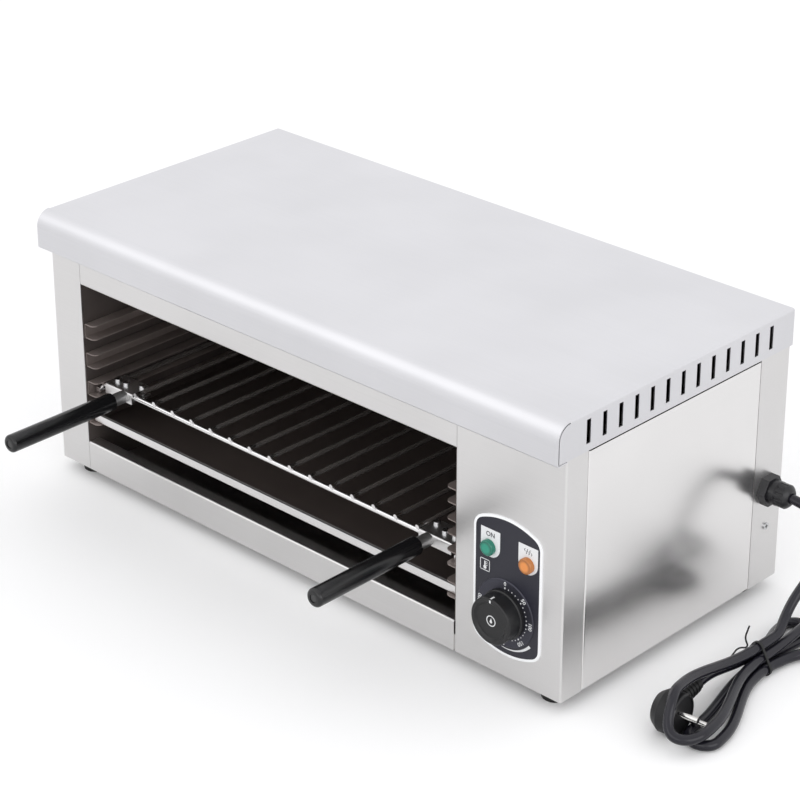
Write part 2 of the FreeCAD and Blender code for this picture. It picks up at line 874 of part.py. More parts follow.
def cavity_wall(label, face_x, way):
    """A chamber wall with a flange behind the front sheet; way points away from the chamber."""
    body = new_body(label)
    outer = face_x + s.sheet * way
    pad(body, "XY", s.sheet, s.chamber_top, box(face_x, s.sheet * 2, outer, chamber_back))
    reach = face_x + s.wall_flange * way
    pad(body, "XZ", s.sheet, s.sheet * 2, box(face_x, s.sill_height + s.sheet, reach, s.wall_flange_top))
    left = face_x if way > 0 else outer
    corner = box(s.sheet, 0, s.sheet + s.bend_radius, s.bend_radius)
    pocket(body, "YZ", left, left + s.sheet, corner)
    if way > 0:
        holes = [circle(v, element_height, s.element_radius + s.screw_play) for v in element_legs()]
        holes.append(circle(bulb_v, bulb_height, s.capillary_radius + s.screw_play))
        pocket(body, "YZ", face_x, outer, *holes)
    return keep(body, label)


def element_legs():
    legs = []
    for middle in (s.front_element, rear_element):
        legs.append(middle - s.element_bend)
        legs.append(middle + s.element_bend)
    return legs


def cavity_back():
    body = new_body("cavity_back")
    outline = box(chamber_left - s.sheet, s.sheet, chamber_right + s.sheet, s.chamber_top)
    pad(body, "XZ", chamber_back, chamber_back + s.sheet, outline)
    return keep(body, "cavity_back")


def cavity_ceiling():
    body = new_body("cavity_ceiling")
    back = chamber_back + s.sheet
    outline = box(chamber_left - s.sheet, s.sheet * 2, chamber_right + s.sheet, back)
    pad(body, "XY", s.chamber_top, s.chamber_top + s.sheet, outline)
    return keep(body, "cavity_ceiling")


def runners(label, wall_x, way):
    """Four guide channels on a chamber wall, open towards the chamber; way points into the chamber."""
    body = new_body(label, several=True)
    low = s.runner_first
    high = low + s.runner_height
    web = wall_x + s.sheet * way
    tip = wall_x + s.runner_reach * way
    inner_bend = s.bend_radius - s.sheet
    channel = rounded([
        (wall_x, low, s.bend_radius), (tip, low), (tip, low + s.sheet), (web, low + s.sheet, inner_bend),
        (web, high - s.sheet, inner_bend), (tip, high - s.sheet), (tip, high), (wall_x, high, s.bend_radius),
    ])
    first = pad(body, "XZ", s.runner_front, runner_back, channel)
    nose = s.runner_nose

    def nose_corner(edge):
        spot = edge.CenterOfMass
        return (along(edge, ALONG_Z) and abs(spot.x - tip.value) < SAME_PLACE
                and abs(spot.y - s.runner_front.value) < SAME_PLACE)
    fillet(body, first, nose, nose_corner)
    doc.recompute()
    pattern = body.newObject("PartDesign::LinearPattern", "row")
    pattern.TransformMode = "Whole shape"
    pattern.Direction = (origin(body, "Z_Axis"), [""])
    bind(pattern, "Length", s.runner_pitch * (s.runner_count - 1))
    bind(pattern, "Occurrences", s.runner_count)
    body.Tip = pattern
    return keep(body, label)


def heating_element(label, middle):
    """A hairpin of tube with a terminal pin at each end."""
    body = new_body(label)
    right = chamber_right + s.sheet + s.element_tail
    turn = chamber_left + s.element_end_gap + s.element_bend
    near = middle - s.element_bend
    far = middle + s.element_bend
    bend = s.element_bend
    path = [(right, near), (turn, near), (turn - bend, middle, -bend), (turn, far, -bend), (right, far)]
    pipe(body, "XY", element_height, path, s.element_radius, "YZ", right, (near, element_height))
    pins = [circle(v, element_height, s.element_pin_radius) for v in (near, far)]
    pad(body, "YZ", right, right + s.element_pin_length, *pins)
    return keep(body, label)


def element_hangers():
    body = new_body("element_hangers", several=True)
    legs = element_legs()
    low = element_height - s.element_radius - s.hanger_margin / 2
    outline = box(legs[0] - s.hanger_margin, low, legs[-1] + s.hanger_margin, s.chamber_top)
    holes = [circle(v, element_height, s.element_radius + s.screw_play) for v in legs]
    holes.append(circle(bulb_v, bulb_height, s.bulb_radius + s.screw_play))
    plate = pad(body, "YZ", hanger_start, hanger_start + s.sheet, outline, *holes)
    line_pattern(body, plate, "X_Axis", s.hanger_pitch, s.hanger_count)
    return keep(body, "element_hangers")


# Rack, handles and tray

def wire_rack():
    wires = []
    side_length = side_wire_back - s.side_wire_front
    for way in (1, -1):
        x = rack_middle + s.side_wire_spread * way
        wires.append(bar("side_wire", ALONG_Y, s.side_wire_radius, side_length, x, s.side_wire_front,
                         side_wire_height))
    cross_start = rack_middle - s.side_wire_spread
    for v in (s.cross_wire_front, cross_wire_back):
        wires.append(bar("cross_wire", ALONG_X, s.cross_wire_radius, s.side_wire_spread * 2, cross_start, v,
                         cross_wire_height))
    count = int(s.rod_count.value)
    for i in range(count):
        x = rack_middle + s.rod_pitch * (i - (s.rod_count - 1) / 2)
        wires.append(bar("rod", ALONG_Y, s.rod_radius, rod_back - s.rod_front, x, s.rod_front, rod_height))
    return keep(union("wire_rack", wires), "wire_rack")


def bracket_bolt_places(way):
    """The three bolts of one handle bracket, as (x, v); way points away from the rack's middle."""
    axis = rack_middle + s.handle_spread * way
    return [
        (axis + s.outer_bolt_offset * way, s.front_bolt_line),
        (axis + s.middle_bolt_offset * way, s.front_bolt_line),
        (axis - s.inner_bolt_offset * way, s.rear_bolt_line),
    ]


def handle_bracket(label, way):
    body = new_body(label)
    axis = rack_middle + s.handle_spread * way
    outer = axis + s.bracket_outer * way
    inner = axis - s.bracket_inner * way
    low_x, high_x = (inner, outer) if way > 0 else (outer, inner)
    back = bracket_front + s.bracket_depth
    bend = s.bracket_bend
    section = rounded([
        (bracket_front, bracket_bottom), (bracket_front + s.bracket_sheet, bracket_bottom),
        (bracket_front + s.bracket_sheet, bracket_under, bend - s.bracket_sheet),
        (back, bracket_under), (back, bracket_top), (bracket_front, bracket_top, bend),
    ])
    pad(body, "YZ", low_x, high_x, section)
    hole = s.bolt_radius + s.bolt_hole_play
    pocket(body, "XY", bracket_under, bracket_top, *[circle(x, v, hole) for x, v in bracket_bolt_places(way)])
    pocket(body, "XZ", bracket_front, bracket_front + s.bracket_sheet,
           circle(axis, handle_height, s.end_screw_shank + s.bolt_hole_play))
    return keep(body, label)


def clamp_plates():
    body = new_body("clamp_plates", several=True)
    for way in (-1, 1):
        axis = rack_middle + s.handle_spread * way
        outer = axis + s.bracket_outer * way
        inner = axis - s.bracket_inner * way
        hole = s.bolt_radius + s.bolt_hole_play
        holes = [circle(x, v, hole) for x, v in bracket_bolt_places(way)]
        front = bracket_front + s.bracket_sheet + s.seam_gap
        back = bracket_front + s.bracket_depth
        pad(body, "XY", clamp_under, clamp_top, box(inner, front, outer, back), *holes)
    return keep(body, "clamp_plates")


def bracket_bolts():
    bolts = []
    for way in (-1, 1):
        for x, v in bracket_bolt_places(way):
            low = clamp_under - s.bolt_tail
            nut_low = clamp_under - s.bolt_nut_height
            bolts.append(union("bolt", [
                bar("shank", ALONG_Z, s.bolt_radius, bracket_top - low, x, v, low),
                bar("head", ALONG_Z, s.bolt_head_radius, s.bolt_head_height, x, v, bracket_top),
                bar("nut", ALONG_Z, s.bolt_head_radius, s.bolt_nut_height, x, v, nut_low),
            ]))
    return keep(group("bracket_bolts", bolts), "bracket_bolts")


def handle_stem(label, way):
    """A turned stem from inside the grip to the front flange of its bracket."""
    body = new_body(label)
    front = -s.stem_show - s.stem_insert
    revolve(body, "YZ", "Y_Axis", box(front, 0, 0, s.stem_radius))
    return keep(body, label, x=rack_middle + s.handle_spread * way, v=bracket_front, h=handle_height)


def handle_grip(label, way):
    body = new_body(label)
    length = s.grip_length
    bore = s.stem_radius + s.stem_play
    radius = s.grip_radius
    recess = s.end_screw_radius + s.screw_play
    shank = s.end_screw_shank + s.screw_play
    profile = rounded([
        (-length, recess), (-length, radius, s.grip_round), (0, radius, s.grip_step), (0, bore),
        (-s.stem_insert, bore), (-s.stem_insert, 0), (-length + s.end_screw_length, 0),
        (-length + s.end_screw_length, shank), (-length + s.end_screw_recess, shank),
        (-length + s.end_screw_recess, recess),
    ])
    revolve(body, "YZ", "Y_Axis", profile)
    return keep(body, label, x=rack_middle + s.handle_spread * way, v=grip_back, h=handle_height)


def grip_end_screws():
    screws = []
    for way in (-1, 1):
        x = rack_middle + s.handle_spread * way
        seat = grip_tip + s.end_screw_recess
        screws.append(union("end_screw", [
            bar("head", ALONG_Y, s.end_screw_radius, s.end_screw_height, x, seat - s.end_screw_height,
                handle_height),
            bar("shank", ALONG_Y, s.end_screw_shank, s.end_screw_length - s.end_screw_recess, x, seat,
                handle_height),
        ]))
    return keep(group("grip_end_screws", screws), "grip_end_screws")


def crumb_tray():
    body = new_body("crumb_tray")
    low = s.runner_first + s.sheet + s.slide_gap
    left = chamber_left + s.sheet + s.tray_side_gap
    right = chamber_right - s.sheet - s.tray_side_gap
    skin = s.tray_sheet
    front = s.tray_front
    back = tray_back
    top = low + s.tray_lip
    bend = s.tray_bend
    inner_bend = bend - skin
    section = rounded([
        (front, low, bend), (back, low, bend), (back, top), (back - skin, top),
        (back - skin, low + skin, inner_bend), (front + skin, low + skin, inner_bend),
        (front + skin, top - skin), (front + s.tray_hem, top - skin), (front + s.tray_hem, top), (front, top),
    ])
    pad(body, "YZ", left, right, section)
    side = box(front + bend, low, back - bend, top)
    pad(body, "YZ", left, left + skin, side)
    pad(body, "YZ", right - skin, right, side)
    return keep(body, "crumb_tray")


# Controls

def plate_outline():
    left = s.plate_middle - s.plate_width / 2
    right = s.plate_middle + s.plate_width / 2
    half = s.plate_width / 2
    arc = (half * half + s.plate_bulge * s.plate_bulge) / (s.plate_bulge * 2)
    return [
        (left, s.plate_bottom), (right, s.plate_bottom, arc),
        (right, s.plate_top), (left, s.plate_top, arc),
    ]


def control_plate():
    body = new_body("control_plate")
    plate = pad(body, "XZ", plate_front, 0, plate_outline())
    fillet(body, plate, s.plate_corner, lambda edge: along(edge, ALONG_Y))
    holes = [
        circle(s.dial_x, s.dial_height, s.spindle_radius + s.spindle_clearance),
        circle(s.power_lamp_x, s.power_lamp_height, s.lamp_radius + s.lamp_hole_play),
        circle(s.heat_lamp_x, s.heat_lamp_height, s.lamp_radius + s.lamp_hole_play),
    ]
    pocket(body, "XZ", plate_front, 0, *holes)
    return keep(body, "control_plate")


def dial_ring():
    body = new_body("dial_ring")
    bore = s.spindle_radius + s.spindle_clearance
    thick = s.dial_thickness
    revolve(body, "YZ", "Y_Axis", [
        (0, bore), (0, s.dial_radius), (-thick + s.dial_bevel, s.dial_radius),
        (-thick, s.dial_radius - s.dial_bevel), (-thick, bore),
    ])
    return keep(body, "dial_ring", x=s.dial_x, v=plate_front, h=s.dial_height)


def control_knob():
    """A hollow knob: skirt, slightly tapered side, rounded rim, dished face and a hub for the spindle."""
    body = new_body("control_knob")
    deep = s.knob_depth
    bore = s.spindle_radius + s.spindle_play
    floor = -deep + s.knob_dish_depth
    profile = [
        (0, s.knob_hollow_radius), (0, s.knob_base_radius), (-s.knob_skirt, s.knob_base_radius),
        (-s.knob_skirt - s.knob_step, s.knob_face_radius), (-deep + s.knob_round, s.knob_face_radius),
        (-deep, s.knob_face_radius - s.knob_round, s.knob_round), (-deep, s.knob_dish_radius),
        (floor, s.knob_dish_radius - s.knob_dish_depth), (floor, 0), (-s.knob_bore_depth, 0),
        (-s.knob_bore_depth, bore), (0, bore), (0, s.knob_hub_radius),
        (floor + s.knob_face_wall, s.knob_hub_radius), (floor + s.knob_face_wall, s.knob_hollow_radius),
    ]
    revolve(body, "YZ", "Y_Axis", profile)
    return keep(body, "control_knob", x=s.dial_x, v=knob_back, h=s.dial_height)


def knob_spindle():
    body = new_body("knob_spindle")
    tip = knob_back - s.knob_bore_depth + s.slide_gap
    end = s.sheet + s.thermostat_depth / 2
    shaft = pad(body, "XZ", tip, end, circle(0, 0, s.spindle_radius))
    flat = box(-s.spindle_radius, s.spindle_flat, s.spindle_radius, s.spindle_radius + s.sheet)
    pocket(body, "XZ", tip, knob_back, flat)
    return keep(body, "knob_spindle", x=s.dial_x, h=s.dial_height)


def thermostat_body():
    body = new_body("thermostat_body")
    half_w = s.thermostat_width / 2
    half_h = s.thermostat_height / 2
    outline = rounded([
        (-half_w, -half_h, s.thermostat_round), (half_w, -half_h, s.thermostat_round),
        (half_w, half_h, s.thermostat_round), (-half_w, half_h, s.thermostat_round),
    ])
    pad(body, "XZ", s.sheet, s.sheet + s.thermostat_depth, outline)
    pocket(body, "XZ", s.sheet, s.sheet + s.thermostat_depth / 2 + s.slide_gap,
           circle(0, 0, s.spindle_radius + s.spindle_play))
    back = s.sheet + s.thermostat_depth
    half_tab = s.blade_width / 2
    tabs = [box(x - half_tab, -s.tab_drop, x + half_tab, s.tab_thickness - s.tab_drop)
            for x in (-s.tab_spread, s.tab_spread)]
    pad(body, "XZ", back, back + s.tab_length, *tabs)
    return keep(body, "thermostat_body", x=s.dial_x, h=s.dial_height)


def lamp(name, x, height):
    """A pilot lamp: its body through the fascia, and the lens on the control plate."""
    body = new_body(name + "_body")
    revolve(body, "YZ", "Y_Axis", box(0, 0, s.lamp_depth, s.lamp_radius))
    keep(body, name + "_body", x=x, v=plate_front, h=height)
    lens = new_body(name + "_lens")
    profile = rounded([
        (-s.lens_height, 0), (-s.lens_height, s.lens_radius, s.lens_round), (0, s.lens_radius), (0, 0),
    ])
    revolve(lens, "YZ", "Y_Axis", profile)
    keep(lens, name + "_lens", x=x, v=plate_front, h=height)


# Feet and screws

def foot_places():
    return [(x, v) for x in (foot_x, -foot_x) for v in (s.foot_front, foot_rear)]


def rubber_feet():
    feet = []
    for x, v in foot_places():
        foot = doc.addObject("Part::Cone", "foot_block")
        bind(foot, "Radius1", s.foot_radius - s.foot_taper)
        bind(foot, "Radius2", s.foot_radius)
        bind(foot, "Height", s.foot_height)
        bind(foot, "Placement.Base.x", x)
        bind(foot, "Placement.Base.y", v)
        bind(foot, "Placement.Base.z", -s.foot_height)
        cuts = union("foot_bore", [
            bar("recess", ALONG_Z, s.foot_recess_radius, s.foot_recess_depth, x, v, -s.foot_height),
            bar("bore", ALONG_Z, s.foot_screw_radius + s.screw_play, s.foot_height, x, v, -s.foot_height),
        ])
        bored = doc.addObject("Part::Cut", "foot")
        bored.Base = foot
        bored.Tool = cuts
        feet.append(bored)
    return keep(group("rubber_feet", feet), "rubber_feet")


def foot_screws():
    screws = []
    for x, v in foot_places():
        seat = s.foot_recess_depth - s.foot_height
        screws.append(union("foot_screw", [
            bar("head", ALONG_Z, s.foot_screw_head_radius, s.foot_screw_head_height, x, v,
                seat - s.foot_screw_head_height),
            bar("shank", ALONG_Z, s.foot_screw_radius, s.foot_screw_tail - seat, x, v, seat),
        ]))
    return keep(group("foot_screws", screws), "foot_screws")


def casing_screws():
    screws = []
    height = s.casing_screw_height
    for way in (1, -1):
        head_x = half_width if way > 0 else -half_width - s.casing_screw_head_height
        shank_x = half_width - s.casing_screw_length if way > 0 else -half_width
        screws.append(union("casing_screw", [
            bar("head", ALONG_X, s.casing_screw_head_radius, s.casing_screw_head_height, head_x,
                casing_screw_v, height),
            bar("shank", ALONG_X, s.casing_screw_radius, s.casing_screw_length, shank_x,
                casing_screw_v, height),
        ]))
    return keep(group("casing_screws", screws), "casing_screws")


# Inner electrics

def terminal_block():
    """Three poles with a slot between each two, standing on the base pan."""
    body = new_body("terminal_block")
    left = s.block_x - s.block_width / 2
    front = s.block_v - s.block_depth / 2
    top = s.sheet + s.block_height
    pad(body, "XY", s.sheet, top, box(left, front, left + s.block_width, front + s.block_depth))
    pole = s.block_width / s.block_poles
    half_slot = s.block_slot / 2
    cut = box(left + pole - half_slot, s.sheet + s.block_height / 2, left + pole + half_slot, top)
    slot = pocket(body, "XZ", front, front + s.block_depth, cut)
    line_pattern(body, slot, "X_Axis", pole, s.block_poles - 1)
    doc.recompute()
    screw = pocket(body, "XY", top - s.block_height / 3, top,
                   circle(left + pole / 2, s.block_v, s.bolt_radius))
    line_pattern(body, screw, "X_Axis", pole, s.block_poles)
    return keep(body, "terminal_block")


def earth_stud():
    stud = union("earth_stud", [
        bar("head", ALONG_Z, s.earth_nut_radius, s.earth_nut_height / 2, s.earth_x, s.earth_v,
            -s.earth_nut_height / 2),
        bar("shank", ALONG_Z, s.earth_radius, s.earth_length, s.earth_x, s.earth_v, 0),
        bar("nut", ALONG_Z, s.earth_nut_radius, s.earth_nut_height, s.earth_x, s.earth_v, s.sheet),
    ])
    return keep(stud, "earth_stud")


def hexagon(flats, a, b):
    """Corner points of a hexagon with a flat above and below."""
    half = flats / 2
    side = flats / math.sqrt(3)
    return [
        (a + side, b), (a + side / 2, b + half), (a - side / 2, b + half),
        (a - side, b), (a - side / 2, b - half), (a + side / 2, b - half),
    ]


def cable_gland():
    """Thread through the casing, hexagon, collar and a fluted cap with a domed mouth for the cord."""
    body = new_body("cable_gland")
    hex_end = s.gland_hex_length
    collar_end = hex_end + s.gland_collar_length
    cap_end = collar_end + s.gland_cap_length
    dome_end = cap_end + s.gland_dome_length
    mouth = s.cord_diameter / 2 + s.gland_play
    revolve(body, "XZ", "X_Axis", [
        (-s.gland_thread_length, 0), (dome_end - s.cord_seat_depth, 0),
        (dome_end - s.cord_seat_depth, mouth), (dome_end, mouth), (dome_end, s.gland_mouth_radius),
        (cap_end, s.gland_cap_radius, s.gland_cap_radius), (collar_end, s.gland_cap_radius),
        (collar_end, s.gland_collar_radius), (hex_end, s.gland_collar_radius),
        (0, s.gland_collar_radius), (0, s.gland_thread_radius),
        (-s.gland_thread_length, s.gland_thread_radius),
    ])
    pad(body, "YZ", 0, hex_end, hexagon(s.gland_across_flats, 0, 0))
    doc.recompute()
    flute = pocket(body, "YZ", collar_end + s.sheet, dome_end,
                   circle(0, s.gland_cap_radius + s.gland_flute_radius / 2, s.gland_flute_radius))
    ring_pattern(body, flute, "X_Axis", s.gland_flutes)
    return keep(body, "cable_gland", x=half_width, v=gland_v, h=s.gland_height)


def gland_nut():
    body = new_body("gland_nut")
    pad(body, "YZ", -s.gland_nut_height, 0, hexagon(s.gland_nut_flats, 0, 0),
        circle(0, 0, s.gland_thread_radius + s.stem_play))
    return keep(body, "gland_nut", x=panel_inner_x, v=gland_v, h=s.gland_height)


# Runs of cord and wire, as solids on a route through space

def vector(x, v, h):
    return FreeCAD.Vector(term(x).value, term(v).value, term(h).value)


def rounded_runs(points, radii):
    """Straight runs joined by tangent arcs of the given radii."""
    edges = []
    start = points[0]
    for i in range(1, len(points) - 1):
        corner = points[i]
        into = (corner - points[i - 1]).normalize()
        away = (points[i + 1] - corner).normalize()
        half_turn = into.getAngle(away) / 2
        reach = radii[i - 1] * math.tan(half_turn)
        enter = corner - into * reach
        leave = corner + away * reach
        middle = corner + (away - into).normalize() * (radii[i - 1] / math.cos(half_turn) - radii[i - 1])
        edges.append(Part.LineSegment(start, enter).toShape())
        edges.append(Part.Arc(enter, middle, leave).toShape())
        start = leave
    edges.append(Part.LineSegment(start, points[-1]).toShape())
    return Part.Wire(edges)


def cord_radii(points):
    """Each bend is as large as its two runs allow."""
    radii = []
    for before, corner, after in zip(points, points[1:], points[2:]):
        into = corner - before
        away = after - corner
        half_turn = into.getAngle(away) / 2
        radii.append(0.45 * min(into.Length, away.Length) / math.tan(half_turn))
    return radii


def tube(route, radius):
    """A round solid swept along a route that starts with a straight run."""
    start = route.Edges[0].valueAt(route.Edges[0].FirstParameter)
    way = route.Edges[0].tangentAt(route.Edges[0].FirstParameter)
    ring = Part.Wire(Part.makeCircle(radius, start, way))
    return route.makePipeShell([ring], True, False)


def keep_shape(name, shape):
    """A sub-part whose solid is worked out from the sheet's sizes in code."""
    feature = doc.addObject("Part::Feature", name)
    feature.Shape = shape
    return keep(feature, name)


def compare_volume(name, shape, route, radius):
    expected = math.pi * radius ** 2 * route.Length
    print(f"{name}: {route.Length:.0f} mm long, volume is {shape.Volume / expected:.4f} of its section's")


def biarc(start, start_way, end, end_way):
    """Two arcs that leave and arrive in the given directions."""
    chord = end - start
    both = start_way + end_way
    bend = 2 * (1 - start_way.dot(end_way))
    along_both = chord.dot(both)
    if bend < SAME_PLACE:
        reach = chord.dot(chord) / (4 * chord.dot(end_way))
    else:
        reach = (math.sqrt(along_both ** 2 + bend * chord.dot(chord)) - along_both) / bend
    first = start + start_way * reach
    second = end - end_way * reach
    joint = (first + second) / 2
    return [arc(start, first, joint), arc(joint, second, end)]


def arc(start, corner, end):
    """The arc between two points whose tangents meet in a corner as far from one as from the other."""
    half = (end - start) / 2
    chord_middle = (start + end) / 2
    rise = corner - chord_middle
    if rise.Length < SAME_PLACE:
        return Part.LineSegment(start, end).toShape()
    angle = math.atan2(rise.Length, half.Length)
    bulge = rise.normalize() * (half.Length * math.tan(angle / 2))
    return Part.Arc(start, chord_middle + bulge, end).toShape()


def plug_point(along_pins, sideways, up):
    """A point of the plug: along its pins, towards its strain relief and up."""
    turn = math.radians(s.plug_turn.value)
    a = term(along_pins).value
    b = term(sideways).value
    x = plug_x.value + a * math.cos(turn) - b * math.sin(turn)
    v = s.plug_v.value + a * math.sin(turn) + b * math.cos(turn)
    return FreeCAD.Vector(x, v, plug_level.value + term(up).value)


def plug_way(along_pins, sideways, up):
    turn = math.radians(s.plug_turn.value)
    x = along_pins * math.cos(turn) - sideways * math.sin(turn)
    v = along_pins * math.sin(turn) + sideways * math.cos(turn)
    return FreeCAD.Vector(x, v, up).normalize()


def waist_slots():
    """Five passes through the tie: two below, two on those and one on top, as (x, h)."""
    step = s.hank_step.value
    rise = step * math.sqrt(3) / 2
    x = hank_x.value
    low = (cord_floor + s.tie_thickness + s.tie_gap).value
    return {
        "top": (x, low + rise * 2),
        "upper_left": (x - step / 2, low + rise),
        "upper_right": (x + step / 2, low + rise),
        "lower_left": (x, low),
        "lower_right": (x + step, low),
    }


def waist_knots(slot, way):
    """Straight through the tie in one slot; way is -1 towards the front and 1 towards the back."""
    x, h = waist_slots()[slot]
    v = hank_v.value
    run = s.waist_run.value
    heading = FreeCAD.Vector(0, way, 0)
    return [(FreeCAD.Vector(x, v - run * way, h), heading), (FreeCAD.Vector(x, v + run * way, h), heading)]


def lobe_knots(x, v, radius, way, out_side, out_level, back_level):
    """A half turn about (x, v), its outgoing side and its return each at a level above the floor."""
    low = cord_floor.value
    heading = FreeCAD.Vector(0, way, 0)
    across = FreeCAD.Vector(out_side, 0, 0)
    centre = FreeCAD.Vector(x, v, low)
    out = centre + across * radius + FreeCAD.Vector(0, 0, out_level)
    tip = centre + heading * radius + FreeCAD.Vector(0, 0, (out_level + back_level) / 2)
    back = centre - across * radius + FreeCAD.Vector(0, 0, back_level)
    return [(out, heading), (tip, -across), (back, -heading)]


# Turns of the hank, chosen by hand: (beside, behind, radius) from the tie's middle and from the plug's
FAR_BACK_TURN = (18.5, 104.0, 20.0)
NEAR_BACK_TURN = (-9.5, 66.0, 12.5)
FRONT_TURN = (28.0, 7.0, 12.5)

# Where the first loop crosses the plug, as (angle from its axis, place along its pins), and where it lands
OVER_PLUG = ((95.0, 4.0), (35.0, 9.0))
LANDING = (23.5, -23.0)
LANDING_WAY = (0.88, 0.40, -0.26)
LANDED = (35.5, -1.0)


def beside_plug(spot, level):
    return FreeCAD.Vector(plug_x.value + spot[0], s.plug_v.value + spot[1], level)


def drape_knots():
    """The first loop: over the plug, down in front of its face and back over the loop on the floor."""
    layer = cord_floor.value + s.hank_layer.value
    reach = (s.plug_radius + cord_radius + s.tie_gap).value
    over = []
    for angle, shift in OVER_PLUG:
        turn = math.radians(angle)
        spot = plug_point(shift, -reach * math.cos(turn), reach * math.sin(turn))
        over.append((spot, plug_way(0.15, -math.sin(turn), -math.cos(turn))))
    landing = (beside_plug(LANDING, layer), FreeCAD.Vector(*LANDING_WAY).normalize())
    return over + [landing, (beside_plug(LANDED, layer), FreeCAD.Vector(0.0, 1.0, 0.0))]


def turn_about(turn, x, v, way, out_side, out_level):
    beside, behind, radius = turn
    return lobe_knots(x.value + beside, v.value + behind, radius, way, out_side, out_level, 0.0)


def hank_knots():
    """Two front loops and two back ones through the tie, then the run to the plug."""
    end_run = s.cord_diameter.value
    start, heading = waist_knots("top", -1)[0]
    knots = [(start - heading * end_run, heading)]
    knots += waist_knots("top", -1) + drape_knots() + waist_knots("upper_right", 1)
    knots += turn_about(FAR_BACK_TURN, hank_x, hank_v, 1, -1, s.hank_layer.value)
    knots += waist_knots("lower_right", -1) + turn_about(FRONT_TURN, plug_x, s.plug_v, -1, 1, 0.0)
    knots += waist_knots("lower_left", 1) + turn_about(NEAR_BACK_TURN, hank_x, hank_v, 1, 1, 0.0)
    knots += waist_knots("upper_left", -1)
    relief = plug_point(-s.relief_offset, relief_end, 0.0)
    into_plug = plug_way(0.0, -1.0, 0.0)
    return knots + [(relief - into_plug * end_run, into_plug), (relief, into_plug)]


def hank_route():
    edges = []
    knots = hank_knots()
    for (a, a_way), (b, b_way) in zip(knots, knots[1:]):
        ahead = (b - a).normalize()
        if ahead.getAngle(a_way) < STRAIGHT and ahead.getAngle(b_way) < STRAIGHT:
            edges.append(Part.LineSegment(a, b).toShape())
        else:
            edges += biarc(a, a_way, b, b_way)
    return Part.Wire(edges)


def least_self_gap(route, diameter):
    """Least gap between turns, measured on points a millimetre apart along the route."""
    spots = route.discretize(Distance=1.0)
    skip = int(diameter * 2)
    least = min((spots[i] - spots[j]).Length for i in range(len(spots)) for j in range(i + skip, len(spots)))
    return least - diameter


def cord_hank():
    route = hank_route()
    radii = sorted(edge.Curve.Radius for edge in route.Edges if isinstance(edge.Curve, Part.Circle))
    shape = tube(route, cord_radius.value)
    compare_volume("cord_hank", shape, route, cord_radius.value)
    print("tightest turns of the hank:", [round(radius, 1) for radius in radii[:6]])
    print(f"least gap of the hank to itself: {least_self_gap(route, s.cord_diameter.value):.2f} mm")
    return keep_shape("cord_hank", shape)


# Route of the free cord from the gland to the hank, chosen by hand: (out, back, up) from the gland's middle
# at the casing's side
CORD_POINTS = [
    (40.0, 0.0, 0.0), (56.0, -1.5, -8.0), (65.0, -6.0, -24.0), (67.0, -16.0, -38.5),
    (65.0, -29.0, -50.0), (63.0, -43.0, -62.5), (65.0, -57.0, -73.5),
]


def power_cord():
    x, h = waist_slots()["top"]
    hank_start = hank_v.value + s.waist_run.value + s.cord_diameter.value
    points = [vector(gland_end - s.cord_seat_depth, gland_v, s.gland_height)]
    points += [vector(half_width + out, gland_v + back, s.gland_height + up) for out, back, up in CORD_POINTS]
    points.append(FreeCAD.Vector(x, hank_start + s.cord_end_run.value, h))
    points.append(FreeCAD.Vector(x, hank_start, h))
    radii = cord_radii(points)
    route = rounded_runs(points, radii)
    shape = tube(route, cord_radius.value)
    compare_volume("power_cord", shape, route, cord_radius.value)
    print("bends of the free cord:", [round(radius) for radius in radii])
    return keep_shape("power_cord", shape)


# The tie's twisted wire: how far its rounded bend stays off its corner, how far its knot stands over the
# pass beside it, and where its two ends go from the knot
TIE_BEND = 2.9
TIE_KNOT_RISE = 4.0
TIE_UPPER_END = [(-1.0, 0.0, 20.0), (-4.0, -1.0, 8.0)]
TIE_LOWER_END = [(-7.0, -5.0, 0.0), (-9.0, -13.0, -8.0)]


def twist_tie():
    """A flat band round the five passes, with its two ends twisted together at the far side."""
    slots = waist_slots()
    v = hank_v.value
    around = [slots[name] for name in ("lower_left", "lower_right", "top", "upper_left")]
    corners = [FreeCAD.Vector(x, v - s.tie_width.value / 2, h) for x, h in around]
    hull = Part.makePolygon(corners + corners[:1])
    clear = (cord_radius + s.tie_gap).value
    inner = hull.makeOffset2D(clear)
    outer = hull.makeOffset2D(clear + s.tie_thickness.value)
    ring = Part.makeFace([outer, inner], "Part::FaceMakerBullseye")
    band = ring.extrude(FreeCAD.Vector(0, s.tie_width.value, 0))
    x, h = slots["upper_left"]
    reach = clear + (s.tie_thickness + s.tie_gap + s.tie_wire_radius).value
    knot = FreeCAD.Vector(x - reach + TIE_BEND, v, h + TIE_KNOT_RISE)
    ends = [knot + FreeCAD.Vector(*step) for step in TIE_UPPER_END]
    ends.append(knot)
    ends += [knot + FreeCAD.Vector(*step) for step in TIE_LOWER_END]
    wire = tube(rounded_runs(ends, cord_radii(ends)), s.tie_wire_radius.value)
    return keep_shape("twist_tie", Part.makeCompound([band, wire]))


# Plug, drawn along its pins (X) and towards its strain relief (Y)

def turned(thing, label):
    """Sets a sub-part of the plug in its place and turns it on the floor."""
    thing.Label = label
    thing.Placement = FreeCAD.Placement(FreeCAD.Vector(), FreeCAD.Rotation(ALONG_Z, 1.0))
    bind(thing, "Placement.Rotation.Angle", s.plug_turn)
    place(thing, plug_x, s.plug_v, plug_level)
    nodes.append(thing)
    return thing


def rolled_point(a, b):
    """A point of the plug's face, rolled about its middle."""
    roll = math.radians(s.plug_roll.value)
    return (a * math.cos(roll) - b * math.sin(roll), a * math.sin(roll) + b * math.cos(roll))


def rolled_box(a0, b0, a1, b1):
    return [rolled_point(term(a), term(b)) for a, b in box(a0, b0, a1, b1)]


